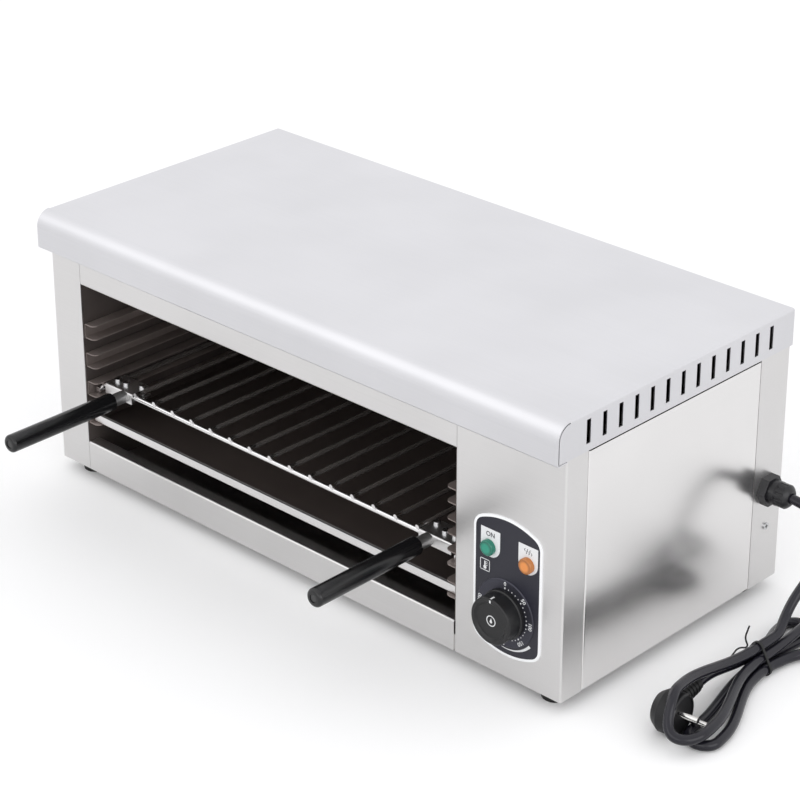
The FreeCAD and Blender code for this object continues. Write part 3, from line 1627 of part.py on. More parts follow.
def plug_body():
    """A round body that narrows to the rear, with a boss for the strain relief and grooves for the clips."""
    body = new_body("plug_body")
    half = s.plug_depth / 2
    radius = s.plug_radius
    rear = s.plug_rear_radius
    revolve(body, "XZ", "X_Axis", [
        (-half, 0), (-half, rear - s.plug_rim), (-half + s.plug_rim, rear), (-half + s.plug_shoulder, radius),
        (half - s.plug_rim, radius), (half, radius - s.plug_rim), (half, radius - s.plug_rim * 2),
        (half - s.plug_face_lip, radius - s.plug_rim * 2), (half - s.plug_face_lip, 0),
    ])
    pad(body, "XZ", 0, radius + s.plug_boss_length, circle(-s.relief_offset, 0, s.plug_boss_radius))
    for way in (1, -1):
        low = (radius - s.clip_groove) * way
        high = (radius + s.sheet) * way
        side = s.clip_width / 2 + s.seam_gap
        pocket(body, "YZ", half - s.clip_length, half + s.sheet, rolled_box(low, -side, high, side))
    holes = [circle(*rolled_point(term(0), s.plug_pin_spread * way), s.plug_pin_radius + s.stem_play)
             for way in (1, -1)]
    pocket(body, "YZ", half - s.clip_length, half, *holes)
    return turned(body, "plug_body")


def plug_pins():
    body = new_body("plug_pins", several=True)
    half = s.plug_depth / 2
    pins = [circle(*rolled_point(term(0), s.plug_pin_spread * way), s.plug_pin_radius) for way in (1, -1)]
    pad(body, "YZ", half - s.clip_length, half + s.plug_pin_length, *pins)
    return turned(body, "plug_pins")


def plug_earth_clips():
    body = new_body("plug_earth_clips", several=True)
    half = s.plug_depth / 2
    clips = []
    for way in (1, -1):
        low = (s.plug_radius - s.clip_groove) * way
        high = low + s.clip_thickness * way
        clips.append(rolled_box(low, -s.clip_width / 2, high, s.clip_width / 2))
    pad(body, "YZ", half - s.clip_length, half - s.plug_face_lip, *clips)
    return turned(body, "plug_earth_clips")


def plug_strain_relief():
    """A tapered sleeve with rings, square on the plug's boss."""
    foot = s.plug_radius + s.plug_boss_length
    along_y = FreeCAD.Placement(FreeCAD.Vector(), FreeCAD.Rotation(ALONG_Z, ALONG_Y))
    sleeve = doc.addObject("Part::Cone", "sleeve")
    sleeve.Placement = along_y
    bind(sleeve, "Radius1", s.relief_radius)
    bind(sleeve, "Radius2", s.relief_tip_radius)
    bind(sleeve, "Height", s.relief_length)
    bind(sleeve, "Placement.Base.x", -s.relief_offset)
    bind(sleeve, "Placement.Base.y", foot)
    pieces = [sleeve]
    pitch = s.relief_length / (s.relief_rings + 1)
    taper = (s.relief_radius - s.relief_tip_radius) / (s.relief_rings + 1)
    for i in range(int(s.relief_rings.value)):
        radius = s.relief_radius + s.relief_ring - taper * (i + 1)
        pieces.append(bar("ring", ALONG_Y, radius, pitch / 2, -s.relief_offset, foot + pitch * (i + 0.5), 0))
    return turned(union("plug_strain_relief", pieces), "plug_strain_relief")


# Bulb and wires in the control bay

def thermostat_bulb():
    """The sensing bulb, held by the hangers' holes, and its capillary to the back of the thermostat."""
    tip = hanger_start + s.hanger_pitch * 2 - s.bulb_length + s.bulb_past_hanger
    seat = vector(tip, bulb_v, bulb_height)
    bulb = Part.makeCylinder(s.bulb_radius.value, s.bulb_length.value, seat, ALONG_X)
    start = tip + s.bulb_length
    back = s.sheet + s.thermostat_depth + s.wire_gap
    points = [
        vector(start, bulb_v, bulb_height), vector(chamber_right + s.element_tail, bulb_v, bulb_height),
        vector(s.dial_x - 24, bulb_v - 14, 130.0), vector(s.dial_x - 4, 62.0, 76.0),
        vector(s.dial_x, back + 14, s.dial_height + 6), vector(s.dial_x, back, s.dial_height + 6),
    ]
    capillary = tube(rounded_runs(points, cord_radii(points)), s.capillary_radius.value)
    return keep_shape("thermostat_bulb", bulb.fuse(capillary))


def inner_wiring():
    """Insulated wires between the terminals, and the sheathed lead from the gland to the terminal block."""
    pole = s.block_width / s.block_poles
    left = s.block_x - pole
    right = s.block_x + pole
    block_front = s.block_v - s.block_depth / 2 - s.wire_gap
    block_back = s.block_v + s.block_depth / 2 + s.wire_gap
    level = s.sheet + s.block_height / 2
    tab_end = s.sheet + s.thermostat_depth + s.tab_length + s.wire_gap
    tab_height = s.dial_height - s.tab_drop + s.tab_thickness / 2
    tab_left = s.dial_x - s.tab_spread
    tab_right = s.dial_x + s.tab_spread
    pin_end = chamber_right + s.sheet + s.element_tail + s.element_pin_length + s.wire_gap
    legs = element_legs()
    upper = element_height
    lamp_end = plate_front + s.lamp_depth + s.wire_gap
    nut_edge = s.earth_x - s.earth_nut_radius - s.wire_gap
    gland_inner = half_width - s.gland_thread_length - s.wire_gap
    wires = [
        [(left, block_front, level), (left, block_front - 22, level + 2),
         (tab_left, tab_end + 31, tab_height), (tab_left, tab_end, tab_height)],
        [(tab_right, tab_end, tab_height), (tab_right, tab_end + 21, tab_height), (250, 70, 150),
         (pin_end + 16, legs[0], upper), (pin_end, legs[0], upper)],
        [(s.block_x, block_back, level), (s.block_x, block_back + 25, level + 4), (240, 205, 110),
         (pin_end + 13, legs[3], upper), (pin_end, legs[3], upper)],
        [(pin_end, legs[1], upper), (pin_end + 10, legs[1], upper), (pin_end + 10, legs[2], upper),
         (pin_end, legs[2], upper)],
        [(right, block_front, level), (right, block_front - 25, level + 2), (262, 60, 100),
         (s.heat_lamp_x, lamp_end + 20, s.heat_lamp_height), (s.heat_lamp_x, lamp_end, s.heat_lamp_height)],
        [(s.power_lamp_x, lamp_end, s.power_lamp_height), (s.power_lamp_x, lamp_end + 25, 108),
         (213, 105, 50), (left - 4, block_front - 20, level + 6), (left - 4, block_front, level + 5)],
        [(right, block_back, level), (right, block_back + 20, level), (253, s.earth_v - 3, 4),
         (nut_edge, s.earth_v, 3.5)],
    ]
    solids = [wire_along(wire, s.wire_radius) for wire in wires]
    lead = [(gland_inner, gland_v, s.gland_height), (gland_inner - 20, gland_v, s.gland_height),
            (250, 225, 38), (229, 190, 13), (s.block_x - 10, block_back, level + 1)]
    solids.append(wire_along(lead, s.lead_radius))
    return keep_shape("inner_wiring", Part.makeCompound(solids))


def wire_along(spots, radius):
    points = [vector(*spot) for spot in spots]
    return tube(rounded_runs(points, cord_radii(points)), radius.value)


top_cover()
side_panel("left_side_panel", -1)
side_panel("right_side_panel", 1)
rear_casing()
base_pan()
left_front_post()
control_fascia()
top_front_rail()
bottom_front_rail()
cavity_wall("left_cavity_wall", chamber_left, -1)
cavity_wall("right_cavity_wall", chamber_right, 1)
cavity_back()
cavity_ceiling()
runners("left_runners", chamber_left, 1)
runners("right_runners", chamber_right, -1)
heating_element("front_heating_element", s.front_element)
heating_element("rear_heating_element", rear_element)
element_hangers()
wire_rack()
for side, way in (("left", -1), ("right", 1)):
    handle_bracket(side + "_handle_bracket", way)
    handle_stem(side + "_handle_stem", way)
    handle_grip(side + "_handle_grip", way)
clamp_plates()
bracket_bolts()
grip_end_screws()
crumb_tray()
control_plate()
dial_ring()
control_knob()
knob_spindle()
thermostat_body()
lamp("power_lamp", s.power_lamp_x, s.power_lamp_height)
lamp("heat_lamp", s.heat_lamp_x, s.heat_lamp_height)
rubber_feet()
foot_screws()
casing_screws()
terminal_block()
earth_stud()
cable_gland()
gland_nut()
thermostat_bulb()
inner_wiring()
power_cord()
cord_hank()
twist_tie()
plug_body()
plug_pins()
plug_earth_clips()
plug_strain_relief()

doc.recompute()


# Checks before anything is written

def check_document():
    faults = []
    for thing in doc.Objects:
        if any(state in ("Invalid", "Error") for state in thing.State):
            owner = thing.getParentGeoFeatureGroup()
            faults.append(f"{thing.Name} of {owner.Label if owner else thing.Label} failed")
        elif thing.TypeId == "PartDesign::Pocket":
            if thing.Shape.Volume > thing.BaseFeature.Shape.Volume - SAME_PLACE:
                faults.append(f"{thing.Name} of {thing.getParentGeoFeatureGroup().Label} cuts nothing")
    for node in nodes:
        if node.Shape.isNull() or not node.Shape.isValid():
            faults.append(f"{node.Label} has no valid shape")
    if faults:
        raise RuntimeError("; ".join(faults))


def write_steps():
    os.makedirs("parts", exist_ok=True)
    for node in nodes:
        node.Shape.exportStep(os.path.join("parts", node.Label + ".step"))


check_document()
write_steps()
print(len(nodes), "sub-parts written")
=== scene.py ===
import math

import bmesh
import bpy
from bpy.props import FloatProperty, FloatVectorProperty, IntProperty, PointerProperty
from mathutils import Matrix, Vector


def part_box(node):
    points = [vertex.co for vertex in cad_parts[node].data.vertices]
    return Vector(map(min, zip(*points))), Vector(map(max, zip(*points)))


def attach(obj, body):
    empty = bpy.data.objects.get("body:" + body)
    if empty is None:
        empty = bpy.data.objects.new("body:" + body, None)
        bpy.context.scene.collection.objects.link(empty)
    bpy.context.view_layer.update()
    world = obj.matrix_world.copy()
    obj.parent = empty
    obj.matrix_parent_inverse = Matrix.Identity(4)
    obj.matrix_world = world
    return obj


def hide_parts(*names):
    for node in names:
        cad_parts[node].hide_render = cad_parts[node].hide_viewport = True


# Countertop salamander grill: finishes for its solids, the supply cord, the artwork of the dial, the knob
# and the panel, the painted shade in the casing's screw recesses and a pale studio. Places are given in
# millimetres, as x from the casing's middle, v back from its front face and h up from its underside. spot()
# turns them into metres of the loaded frame.

bl_info = {
    "name": "Salamander Grill",
    "version": (1, 0, 0),
    "blender": (4, 5, 0),
    "location": "View3D > Sidebar > Grill",
    "description": "Dresses a countertop salamander grill and sets its studio",
    "category": "Object",
}

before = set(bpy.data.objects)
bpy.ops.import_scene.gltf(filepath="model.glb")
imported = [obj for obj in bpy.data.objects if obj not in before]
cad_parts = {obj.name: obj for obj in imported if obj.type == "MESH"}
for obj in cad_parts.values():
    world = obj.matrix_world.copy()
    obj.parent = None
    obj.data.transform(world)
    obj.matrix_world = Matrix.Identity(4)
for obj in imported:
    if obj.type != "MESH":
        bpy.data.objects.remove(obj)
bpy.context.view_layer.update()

MM = 0.001
COVER_LOW, COVER_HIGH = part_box("top_cover")
MIDDLE_X = (COVER_LOW.x + COVER_HIGH.x) / 2
FRONT_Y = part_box("control_fascia")[0].y
UNDERSIDE_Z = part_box("base_pan")[0].z
PLATE_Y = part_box("control_plate")[0].y
KNOB_FRONT_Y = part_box("control_knob")[0].y
TRAY_FRONT_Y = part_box("crumb_tray")[0].y
RACK_FRONT_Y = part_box("wire_rack")[0].y
DIAL_LOW, DIAL_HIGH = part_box("dial_ring")
DIAL_MIDDLE = (DIAL_LOW + DIAL_HIGH) / 2
INK_DEPTH = 0.12 * MM


def spot(x, v, h):
    """A place of the casing in millimetres as a point of the frame in metres."""
    return Vector((MIDDLE_X + x * MM, FRONT_Y + v * MM, UNDERSIDE_Z + h * MM))


# Settings

class GrillFinish(bpy.types.PropertyGroup):
    steel: FloatVectorProperty(
        name="Stainless", description="Base colour of the brushed sheet", subtype="COLOR", size=3,
        default=(0.775, 0.765, 0.760), min=0.0, max=1.0)
    cover: FloatVectorProperty(
        name="Cover", description="Base colour of the cover's sheet", subtype="COLOR", size=3,
        default=(0.755, 0.753, 0.775), min=0.0, max=1.0)
    chamber: FloatVectorProperty(
        name="Chamber", description="Colour of the heat-darkened chamber sheet", subtype="COLOR", size=3,
        default=(0.125, 0.105, 0.098), min=0.0, max=1.0)
    panel: FloatVectorProperty(
        name="Panel", description="Colour of the control panel's print", subtype="COLOR", size=3,
        default=(0.0135, 0.0135, 0.0235), min=0.0, max=1.0)
    ink: FloatVectorProperty(
        name="Ink", description="Colour of the panel's and the dial's pale print", subtype="COLOR", size=3,
        default=(0.78, 0.79, 0.80), min=0.0, max=1.0)
    rubber: FloatVectorProperty(
        name="Cord rubber", description="Colour of the cord's sheath", subtype="COLOR", size=3,
        default=(0.0105, 0.0100, 0.0155), min=0.0, max=1.0)
    plastic: FloatVectorProperty(
        name="Black plastic", description="Colour of the grips, the knob and the plug", subtype="COLOR",
        size=3, default=(0.0075, 0.0075, 0.0082), min=0.0, max=1.0)


class CordSizes(bpy.types.PropertyGroup):
    diameter: FloatProperty(
        name="Diameter", description="Cord's outer diameter", default=8.5 * MM, unit="LENGTH")
    length: FloatProperty(
        name="Length", description="Cord from gland to plug", default=1.27, unit="LENGTH")
    hank_x: FloatProperty(
        name="Hank x", description="Left passes of the tied waist", default=370.5 * MM, unit="LENGTH")
    hank_v: FloatProperty(
        name="Hank depth", description="Tie's place behind the front face", default=158 * MM, unit="LENGTH")
    step: FloatProperty(
        name="Step", description="Spacing of the passes at the waist", default=9.1 * MM, unit="LENGTH")
    turn_points: IntProperty(
        name="Points a stretch", description="Points on each stretch between two knots", default=5)


class DialSizes(bpy.types.PropertyGroup):
    number_radius: FloatProperty(
        name="Number radius", description="Middle of the numbers", default=26.3 * MM, unit="LENGTH")
    number_size: FloatProperty(
        name="Number size", description="Height of the numbers' type", default=4.8 * MM, unit="LENGTH")
    dot_radius: FloatProperty(
        name="Dot radius", description="Ring of the small dots", default=22.7 * MM, unit="LENGTH")
    dot_pitch: FloatProperty(
        name="Dot pitch", description="Turn between two dots", default=math.radians(9.3), subtype="ANGLE")
    number_pitch: FloatProperty(
        name="Number pitch", description="Turn between two numbers", default=math.radians(46.5),
        subtype="ANGLE")


class StageSettings(bpy.types.PropertyGroup):
    camera_place: FloatVectorProperty(
        name="Camera place", description="Camera's place in metres", subtype="TRANSLATION", size=3,
        default=(1.37895, -1.39615, 1.1193))
    camera_turn: FloatProperty(
        name="Camera turn", description="Turn about the vertical", default=0.765, subtype="ANGLE")
    camera_dip: FloatProperty(
        name="Camera dip", description="Tilt below the horizon", default=0.422, subtype="ANGLE")
    camera_roll: FloatProperty(
        name="Camera roll", description="Roll about the view", default=-0.001, subtype="ANGLE")
    lens: FloatProperty(name="Lens", description="Focal length in millimetres", default=116.876)
    shift_y: FloatProperty(name="Shift", description="Vertical shift of the frame", default=-0.1254)
    world: FloatProperty(name="World light", description="Strength of the even light", default=1.0)
    floor: FloatVectorProperty(
        name="Floor", description="Colour of the floor as the grill meets it", subtype="COLOR", size=3,
        default=(0.78, 0.78, 0.78), min=0.0, max=1.0)


def finish():
    """The colours that the finishes start from."""
    return bpy.context.scene.grill_finish


# Materials

# Colour sockets of a mix node, which has several of the same name
MIX_SHARE, MIX_FIRST, MIX_SECOND, MIX_RESULT = 0, 6, 7, 2


class Recipe:
    """A material under construction: its nodes, and short ways to add and join them."""

    def __init__(self, name):
        self.material = bpy.data.materials.new(name)
        self.material.use_nodes = True
        self.nodes = self.material.node_tree.nodes
        self.links = self.material.node_tree.links
        self.shader = self.nodes["Principled BSDF"]

    def set(self, **values):
        """Sets the shader's own values."""
        for socket, value in values.items():
            self.shader.inputs[socket.replace("_", " ")].default_value = value
        return self

    def add(self, kind, **values):
        """A new node with its settings and its unjoined inputs."""
        node = self.nodes.new(kind)
        for name, value in values.items():
            if hasattr(node, name):
                setattr(node, name, value)
            else:
                node.inputs[name.replace("_", " ")].default_value = value
        return node

    def join(self, source, target, socket):
        self.links.new(source, target.inputs[socket])

    def feed(self, source, socket):
        self.links.new(source, self.shader.inputs[socket])

    def place(self, scale=(1, 1, 1), shift=(0, 0, 0)):
        """Object coordinates, stretched for a grain that runs one way or shifted to a middle."""
        place = self.add("ShaderNodeTexCoord")
        mapping = self.add("ShaderNodeMapping", Scale=scale, Location=shift)
        self.join(place.outputs["Object"], mapping, "Vector")
        return mapping.outputs["Vector"]

    def distance(self, shift, kept=(1, 1, 1)):
        """Distance along the kept axes from a middle, which the shift moves to the origin."""
        node = self.add("ShaderNodeVectorMath", operation="LENGTH")
        self.join(self.place(kept, shift), node, 0)
        return node.outputs["Value"]

    def noise(self, where, scale, detail, roughness=0.5):
        node = self.add("ShaderNodeTexNoise", Scale=scale, Detail=detail, Roughness=roughness)
        self.join(where, node, "Vector")
        return node.outputs["Fac"]

    def scaled_sum(self, source, factor, base):
        """One value times a factor, added to another."""
        node = self.add("ShaderNodeMath", operation="MULTIPLY_ADD")
        self.join(source, node, 0)
        node.inputs[1].default_value = factor
        self.join(base, node, 2)
        return node.outputs[0]

    def between(self, source, low, high, from_low=0.0, from_high=1.0):
        """A value carried from one span to another and held within it."""
        node = self.add("ShaderNodeMapRange")
        node.inputs["From Min"].default_value = from_low
        node.inputs["From Max"].default_value = from_high
        node.inputs["To Min"].default_value = low
        node.inputs["To Max"].default_value = high
        self.join(source, node, "Value")
        return node.outputs["Result"]

    def ramp(self, source, *stops):
        """Colours at their positions along a value."""
        node = self.add("ShaderNodeValToRGB")
        while len(node.color_ramp.elements) < len(stops):
            node.color_ramp.elements.new(0.5)
        for element, (position, colour) in zip(node.color_ramp.elements, stops):
            element.position = position
            element.color = (*colour, 1.0)
        self.join(source, node, "Fac")
        return node.outputs["Color"]

    def tint(self, source, colour, low, high):
        """A colour whose brightness wanders between two shares."""
        return self.ramp(source, (0.25, shade(colour, low)), (0.75, shade(colour, high)))

    def mix(self, share, first, second):
        """The first colour where the share is 0 and the second where it is 1."""
        node = self.add("ShaderNodeMix", data_type="RGBA")
        self.links.new(share, node.inputs[MIX_SHARE])
        self.links.new(first, node.inputs[MIX_FIRST])
        self.links.new(second, node.inputs[MIX_SECOND])
        return node.outputs[MIX_RESULT]

    def bump(self, source, distance, strength):
        node = self.add("ShaderNodeBump", Strength=strength, Distance=distance)
        self.join(source, node, "Height")
        return node.outputs["Normal"]


def shade(colour, share):
    """A darker or lighter colour, its channels held at 1."""
    return tuple(min(channel * share, 1.0) for channel in colour)


# Noise scales that draw the brushing out along one axis
GRAIN = {"x": (6, 900, 900), "y": (900, 6, 900)}


def brushed_steel(name, grain, colour, roughness, streak=0.07):
    """Stainless sheet with fine brushing along one axis, soft clouds and faint smudges."""
    recipe = Recipe(name)
    lines = recipe.noise(recipe.place(GRAIN[grain]), 1.0, 4.0, 0.65)
    clouds = recipe.noise(recipe.place(), 9.0, 2.0)
    smudges = recipe.noise(recipe.place(), 34.0, 5.0, 0.6)
    tone = recipe.between(recipe.scaled_sum(lines, 0.55, clouds), 0, 1, 0.35, 1.15)
    recipe.feed(recipe.tint(tone, colour, 0.97, 1.025), "Base Color")
    brushing = recipe.between(lines, roughness - streak, roughness + streak)
    recipe.feed(recipe.scaled_sum(smudges, streak, brushing), "Roughness")
    recipe.feed(recipe.bump(lines, 0.02 * MM, 0.5), "Normal")
    return recipe.set(Metallic=1.0).material


def chamber_steel(name, colour):
    """Sheet browned and dulled by heat, with baked-on spots."""
    recipe = Recipe(name)
    clouds = recipe.noise(recipe.place(), 14.0, 5.0, 0.6)
    spots = recipe.noise(recipe.place(), 260.0, 3.0)
    browning = ((0.25, shade(colour, 0.75)), (0.55, colour), (0.8, shade(colour, 1.4)))
    recipe.feed(recipe.ramp(clouds, *browning), "Base Color")
    recipe.feed(recipe.between(spots, 0.30, 0.46, 0.3, 0.7), "Roughness")
    recipe.feed(recipe.bump(spots, 0.015 * MM, 0.3), "Normal")
    return recipe.set(Metallic=0.4).material


def baked_and_shaded_metal(name, front_y, reach, bright, baked, roughness, dulled=0.3):
    """Metal bright at its front, dark within its reach behind: baked-on fat and painted chamber shade."""
    recipe = Recipe(name)
    split = recipe.add("ShaderNodeSeparateXYZ")
    recipe.join(recipe.place(), split, "Vector")
    clouds = recipe.noise(recipe.place(), 22.0, 2.0)
    lines = recipe.noise(recipe.place(GRAIN["x"]), 1.0, 4.0, 0.65)
    # Share of the dark colour, which is baked-on fat together with the chamber's shade, painted in
    inside = recipe.between(split.outputs["Y"], 0.0, 1.0, front_y, front_y + reach)
    shown = recipe.tint(lines, bright, 0.97, 1.03)
    hidden = recipe.tint(clouds, baked, 0.92, 1.1)
    recipe.feed(recipe.mix(inside, shown, hidden), "Base Color")
    recipe.feed(recipe.between(inside, 1.0, dulled), "Metallic")
    recipe.feed(recipe.between(clouds, roughness - 0.02, roughness + 0.04, 0.2, 0.8), "Roughness")
    recipe.feed(recipe.bump(lines, 0.004 * MM, 0.2), "Normal")
    return recipe.material


def plated(name, colour, roughness):
    """Bright plating with tiny pits and wiping marks."""
    recipe = Recipe(name)
    wipes = recipe.noise(recipe.place((60, 60, 60)), 1.0, 4.0)
    pits = recipe.noise(recipe.place(), 900.0, 2.0)
    recipe.feed(recipe.tint(wipes, colour, 0.92, 1.05), "Base Color")
    recipe.feed(recipe.between(wipes, roughness * 0.7, roughness * 1.4, 0.3, 0.7), "Roughness")
    recipe.feed(recipe.bump(pits, 0.01 * MM, 0.25), "Normal")
    return recipe.set(Metallic=1.0).material


def moulded(name, colour, roughness, grain=0.012, pattern=1400.0, specular=0.36):
    """Moulded plastic or rubber with a fine spark-eroded grain and handled, shinier places."""
    recipe = Recipe(name)
    fine = recipe.noise(recipe.place(), pattern, 2.0)
    worn = recipe.noise(recipe.place(), 45.0, 4.0, 0.6)
    recipe.feed(recipe.tint(worn, colour, 0.94, 1.1), "Base Color")
    recipe.feed(recipe.between(worn, roughness - 0.03, roughness + 0.03, 0.3, 0.7), "Roughness")
    recipe.feed(recipe.bump(fine, grain * MM, 0.5), "Normal")
    return recipe.set(Specular_IOR_Level=specular).material


def panel_print():
    """Screen print under a satin film."""
    recipe = Recipe("panel_blue")
    colour = tuple(finish().panel)
    film = recipe.noise(recipe.place(), 2200.0, 2.0)
    clouds = recipe.noise(recipe.place(), 30.0, 3.0)
    recipe.feed(recipe.tint(clouds, colour, 0.92, 1.1), "Base Color")
    recipe.feed(recipe.between(clouds, 0.34, 0.44, 0.3, 0.7), "Roughness")
    recipe.feed(recipe.bump(film, 0.008 * MM, 0.4), "Normal")
    return recipe.material


def printed_ink(name, colour):
    """Screen-printed ink with fine mesh dots."""
    recipe = Recipe(name)
    dots = recipe.noise(recipe.place(), 3000.0, 2.0)
    recipe.feed(recipe.tint(dots, colour, 0.93, 1.04), "Base Color")
    recipe.feed(recipe.between(dots, 0.4, 0.52), "Roughness")
    return recipe.material


def spun_metal():
    """Dial disc with turning lines round its middle."""
    recipe = Recipe("dial_metal")
    noise = recipe.add("ShaderNodeTexNoise", noise_dimensions="1D", Scale=2600.0, Detail=3.0)
    recipe.join(recipe.distance(-DIAL_MIDDLE), noise, "W")
    rings = noise.outputs["Fac"]
    recipe.feed(recipe.tint(rings, (0.060, 0.060, 0.078), 0.88, 1.12), "Base Color")
    recipe.feed(recipe.between(rings, 0.32, 0.46), "Roughness")
    recipe.feed(recipe.bump(rings, 0.02 * MM, 0.4), "Normal")
    return recipe.set(Metallic=0.7).material


def tinted_lens(name, node, colour):
    """A tinted cap: paler over its lamp, deeper towards its rim, with faint moulding ribs and a painted glow.
    """
    recipe = Recipe(name)
    low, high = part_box(node)
    middle = (low + high) / 2
    distance = recipe.distance((-middle.x, 0, -middle.z), kept=(1, 0, 1))
    share = recipe.between(distance, 0, 1, 0, (high.x - low.x) / 2)
    depth = ((0.45, shade(colour, 1.35)), (0.62, colour), (0.80, shade(colour, 0.55)),
             (0.95, shade(colour, 0.85)))
    ribs = recipe.noise(recipe.place(), 420.0, 1.0)
    recipe.feed(recipe.ramp(share, *depth), "Base Color")
    recipe.feed(recipe.between(ribs, 0.12, 0.2), "Roughness")
    recipe.feed(recipe.bump(ribs, 0.01 * MM, 0.2), "Normal")
    recipe.set(Coat_Weight=0.4, Coat_Roughness=0.08)
    # Faint painted glow: the cap itself gives off light of its own colour
    return recipe.set(Emission_Strength=0.1, Emission_Color=(*colour, 1.0)).material


def cord_rubber():
    """Extruded sheath: smooth and slightly glossy, with faint drawing lines and dust."""
    recipe = Recipe("cord_rubber")
    dust = recipe.noise(recipe.place(), 120.0, 4.0, 0.6)
    skin = recipe.noise(recipe.place(), 1100.0, 2.0)
    recipe.feed(recipe.tint(dust, tuple(finish().rubber), 0.93, 1.12), "Base Color")
    recipe.feed(recipe.between(dust, 0.17, 0.21, 0.3, 0.7), "Roughness")
    recipe.feed(recipe.bump(skin, 0.006 * MM, 0.3), "Normal")
    return recipe.set(Specular_IOR_Level=0.42).material


MATERIALS = {}


def make_materials():
    """Makes every material once, under the name that the pieces ask for."""
    ink = tuple(finish().ink)
    black = tuple(finish().plastic)
    steel = tuple(finish().steel)
    chamber = tuple(finish().chamber)
    MATERIALS.update({
        "steel_x": brushed_steel("stainless_along_x", "x", steel, 0.30),
        # The side panels take a lighter copy of the same steel: painted light on the sides
        "steel_y": brushed_steel("stainless_along_y_painted_lighter", "y", shade(steel, 1.16), 0.21, 0.04),
        "cover": brushed_steel("stainless_cover", "x", tuple(finish().cover), 0.36),
        # The tray's floor behind its lip and the rack's rods behind the front wire are dark: baked-on fat
        # with painted chamber shade
        "tray": baked_and_shaded_metal("tray_steel", TRAY_FRONT_Y + 1.5 * MM, 2.5 * MM, shade(steel, 1.15),
                           (0.072, 0.058, 0.053), 0.34),
        "chamber": chamber_steel("chamber_steel", chamber),
        # The runners take a lighter copy of the chamber's sheet: painted highlight
        "runner": chamber_steel("runner_steel_painted_highlight", shade(chamber, 2.2)),
        "element": moulded("element_sheath", (0.045, 0.038, 0.034), 0.55, 0.08, 500.0),
        "copper": plated("copper_bulb", (0.55, 0.30, 0.17), 0.3),
        "chrome": baked_and_shaded_metal("chrome_wire", RACK_FRONT_Y + 9 * MM, 5 * MM, (0.88, 0.87, 0.87),
                             (0.40, 0.37, 0.35), 0.22, 0.8),
        "zinc": plated("zinc_plated", (0.66, 0.67, 0.68), 0.2),
        "nickel": plated("nickel_plated", (0.80, 0.79, 0.77), 0.12),
        "stem": plated("stem_grey", (0.50, 0.50, 0.50), 0.40),
        "dark_screw": plated("dark_screw", (0.10, 0.10, 0.10), 0.35),
        # Painted shade of the casing screws' cross recesses
        "recess": plated("recess_shadow", (0.07, 0.07, 0.07), 0.5),
        "panel": panel_print(),
        "ink": printed_ink("pale_ink", ink),
        "border": printed_ink("pale_border", shade(ink, 1.2)),
        "dark_ink": printed_ink("dark_ink", (0.03, 0.03, 0.04)),
        "dial": spun_metal(),
        "grip": moulded("grip_black", black, 0.20, 0.002, 1500.0, 0.5),
        "knob": moulded("knob_black", shade(black, 1.3), 0.40, 0.01, 1800.0, 0.45),
        "plug": moulded("plug_black", shade(black, 1.3), 0.46, 0.02, 1100.0),
        "bakelite": moulded("bakelite", (0.022, 0.017, 0.015), 0.38),
        "lamp": moulded("lamp_black", (0.010, 0.010, 0.010), 0.35),
        "block": moulded("block_white", (0.74, 0.71, 0.64), 0.45),
        "wire": moulded("wire_sheath", (0.11, 0.10, 0.10), 0.45),
        "gland": moulded("gland_grey", (0.013, 0.013, 0.015), 0.30, 0.012, 1000.0, 0.45),
        "foot": moulded("rubber_black", (0.014, 0.014, 0.014), 0.62, 0.08, 900.0),
        "tie": moulded("tie_black", (0.010, 0.010, 0.010), 0.3),
        "cord": cord_rubber(),
        "green": tinted_lens("lens_green", "power_lamp_lens", (0.004, 0.19, 0.125)),
        "orange": tinted_lens("lens_orange", "heat_lamp_lens", (0.52, 0.18, 0.035)),
    })


NODE_FINISHES = {
    "cover": ["top_cover"],
    "steel_x": ["top_front_rail", "bottom_front_rail", "control_fascia", "left_front_post",
                "rear_casing", "base_pan", "left_handle_bracket", "right_handle_bracket", "clamp_plates"],
    "steel_y": ["left_side_panel", "right_side_panel"],
    "tray": ["crumb_tray"],
    "chamber": ["left_cavity_wall", "right_cavity_wall", "cavity_back", "cavity_ceiling", "element_hangers"],
    "runner": ["left_runners", "right_runners"],
    "element": ["front_heating_element", "rear_heating_element"],
    "copper": ["thermostat_bulb"],
    "chrome": ["wire_rack"],
    "dark_screw": ["grip_end_screws"],
    "zinc": ["bracket_bolts", "foot_screws", "casing_screws", "earth_stud", "knob_spindle"],
    "nickel": ["plug_pins", "plug_earth_clips"],
    "stem": ["left_handle_stem", "right_handle_stem"],
    "border": ["control_plate"],
    "dial": ["dial_ring"],
    "grip": ["left_handle_grip", "right_handle_grip"],
    "knob": ["control_knob"],
    "plug": ["plug_body", "plug_strain_relief"],
    "bakelite": ["thermostat_body"],
    "lamp": ["power_lamp_body", "heat_lamp_body"],
    "green": ["power_lamp_lens"],
    "orange": ["heat_lamp_lens"],
    "block": ["terminal_block"],
    "wire": ["inner_wiring"],
    "gland": ["cable_gland", "gland_nut"],
    "foot": ["rubber_feet"],
    "tie": ["twist_tie"],
}


# Making pieces

def keep_piece(thing, body, material):
    """Gives a finished piece its material and lets it ride on a body."""
    thing.data.materials.append(MATERIALS[material])
    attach(thing, body)


def mesh_piece(name, shape):
    """A bmesh as a flat-shaded object at the origin, with its normals outwards."""
    bmesh.ops.remove_doubles(shape, verts=shape.verts, dist=1e-7)
    bmesh.ops.recalc_face_normals(shape, faces=shape.faces)
    mesh = bpy.data.meshes.new(name)
    shape.to_mesh(mesh)
    shape.free()
    for face in mesh.polygons:
        face.use_smooth = False
    thing = bpy.data.objects.new(name, mesh)
    bpy.context.scene.collection.objects.link(thing)
    return thing


# Share of the type's size by which its strokes are thickened
TYPE_WEIGHT = 0.012


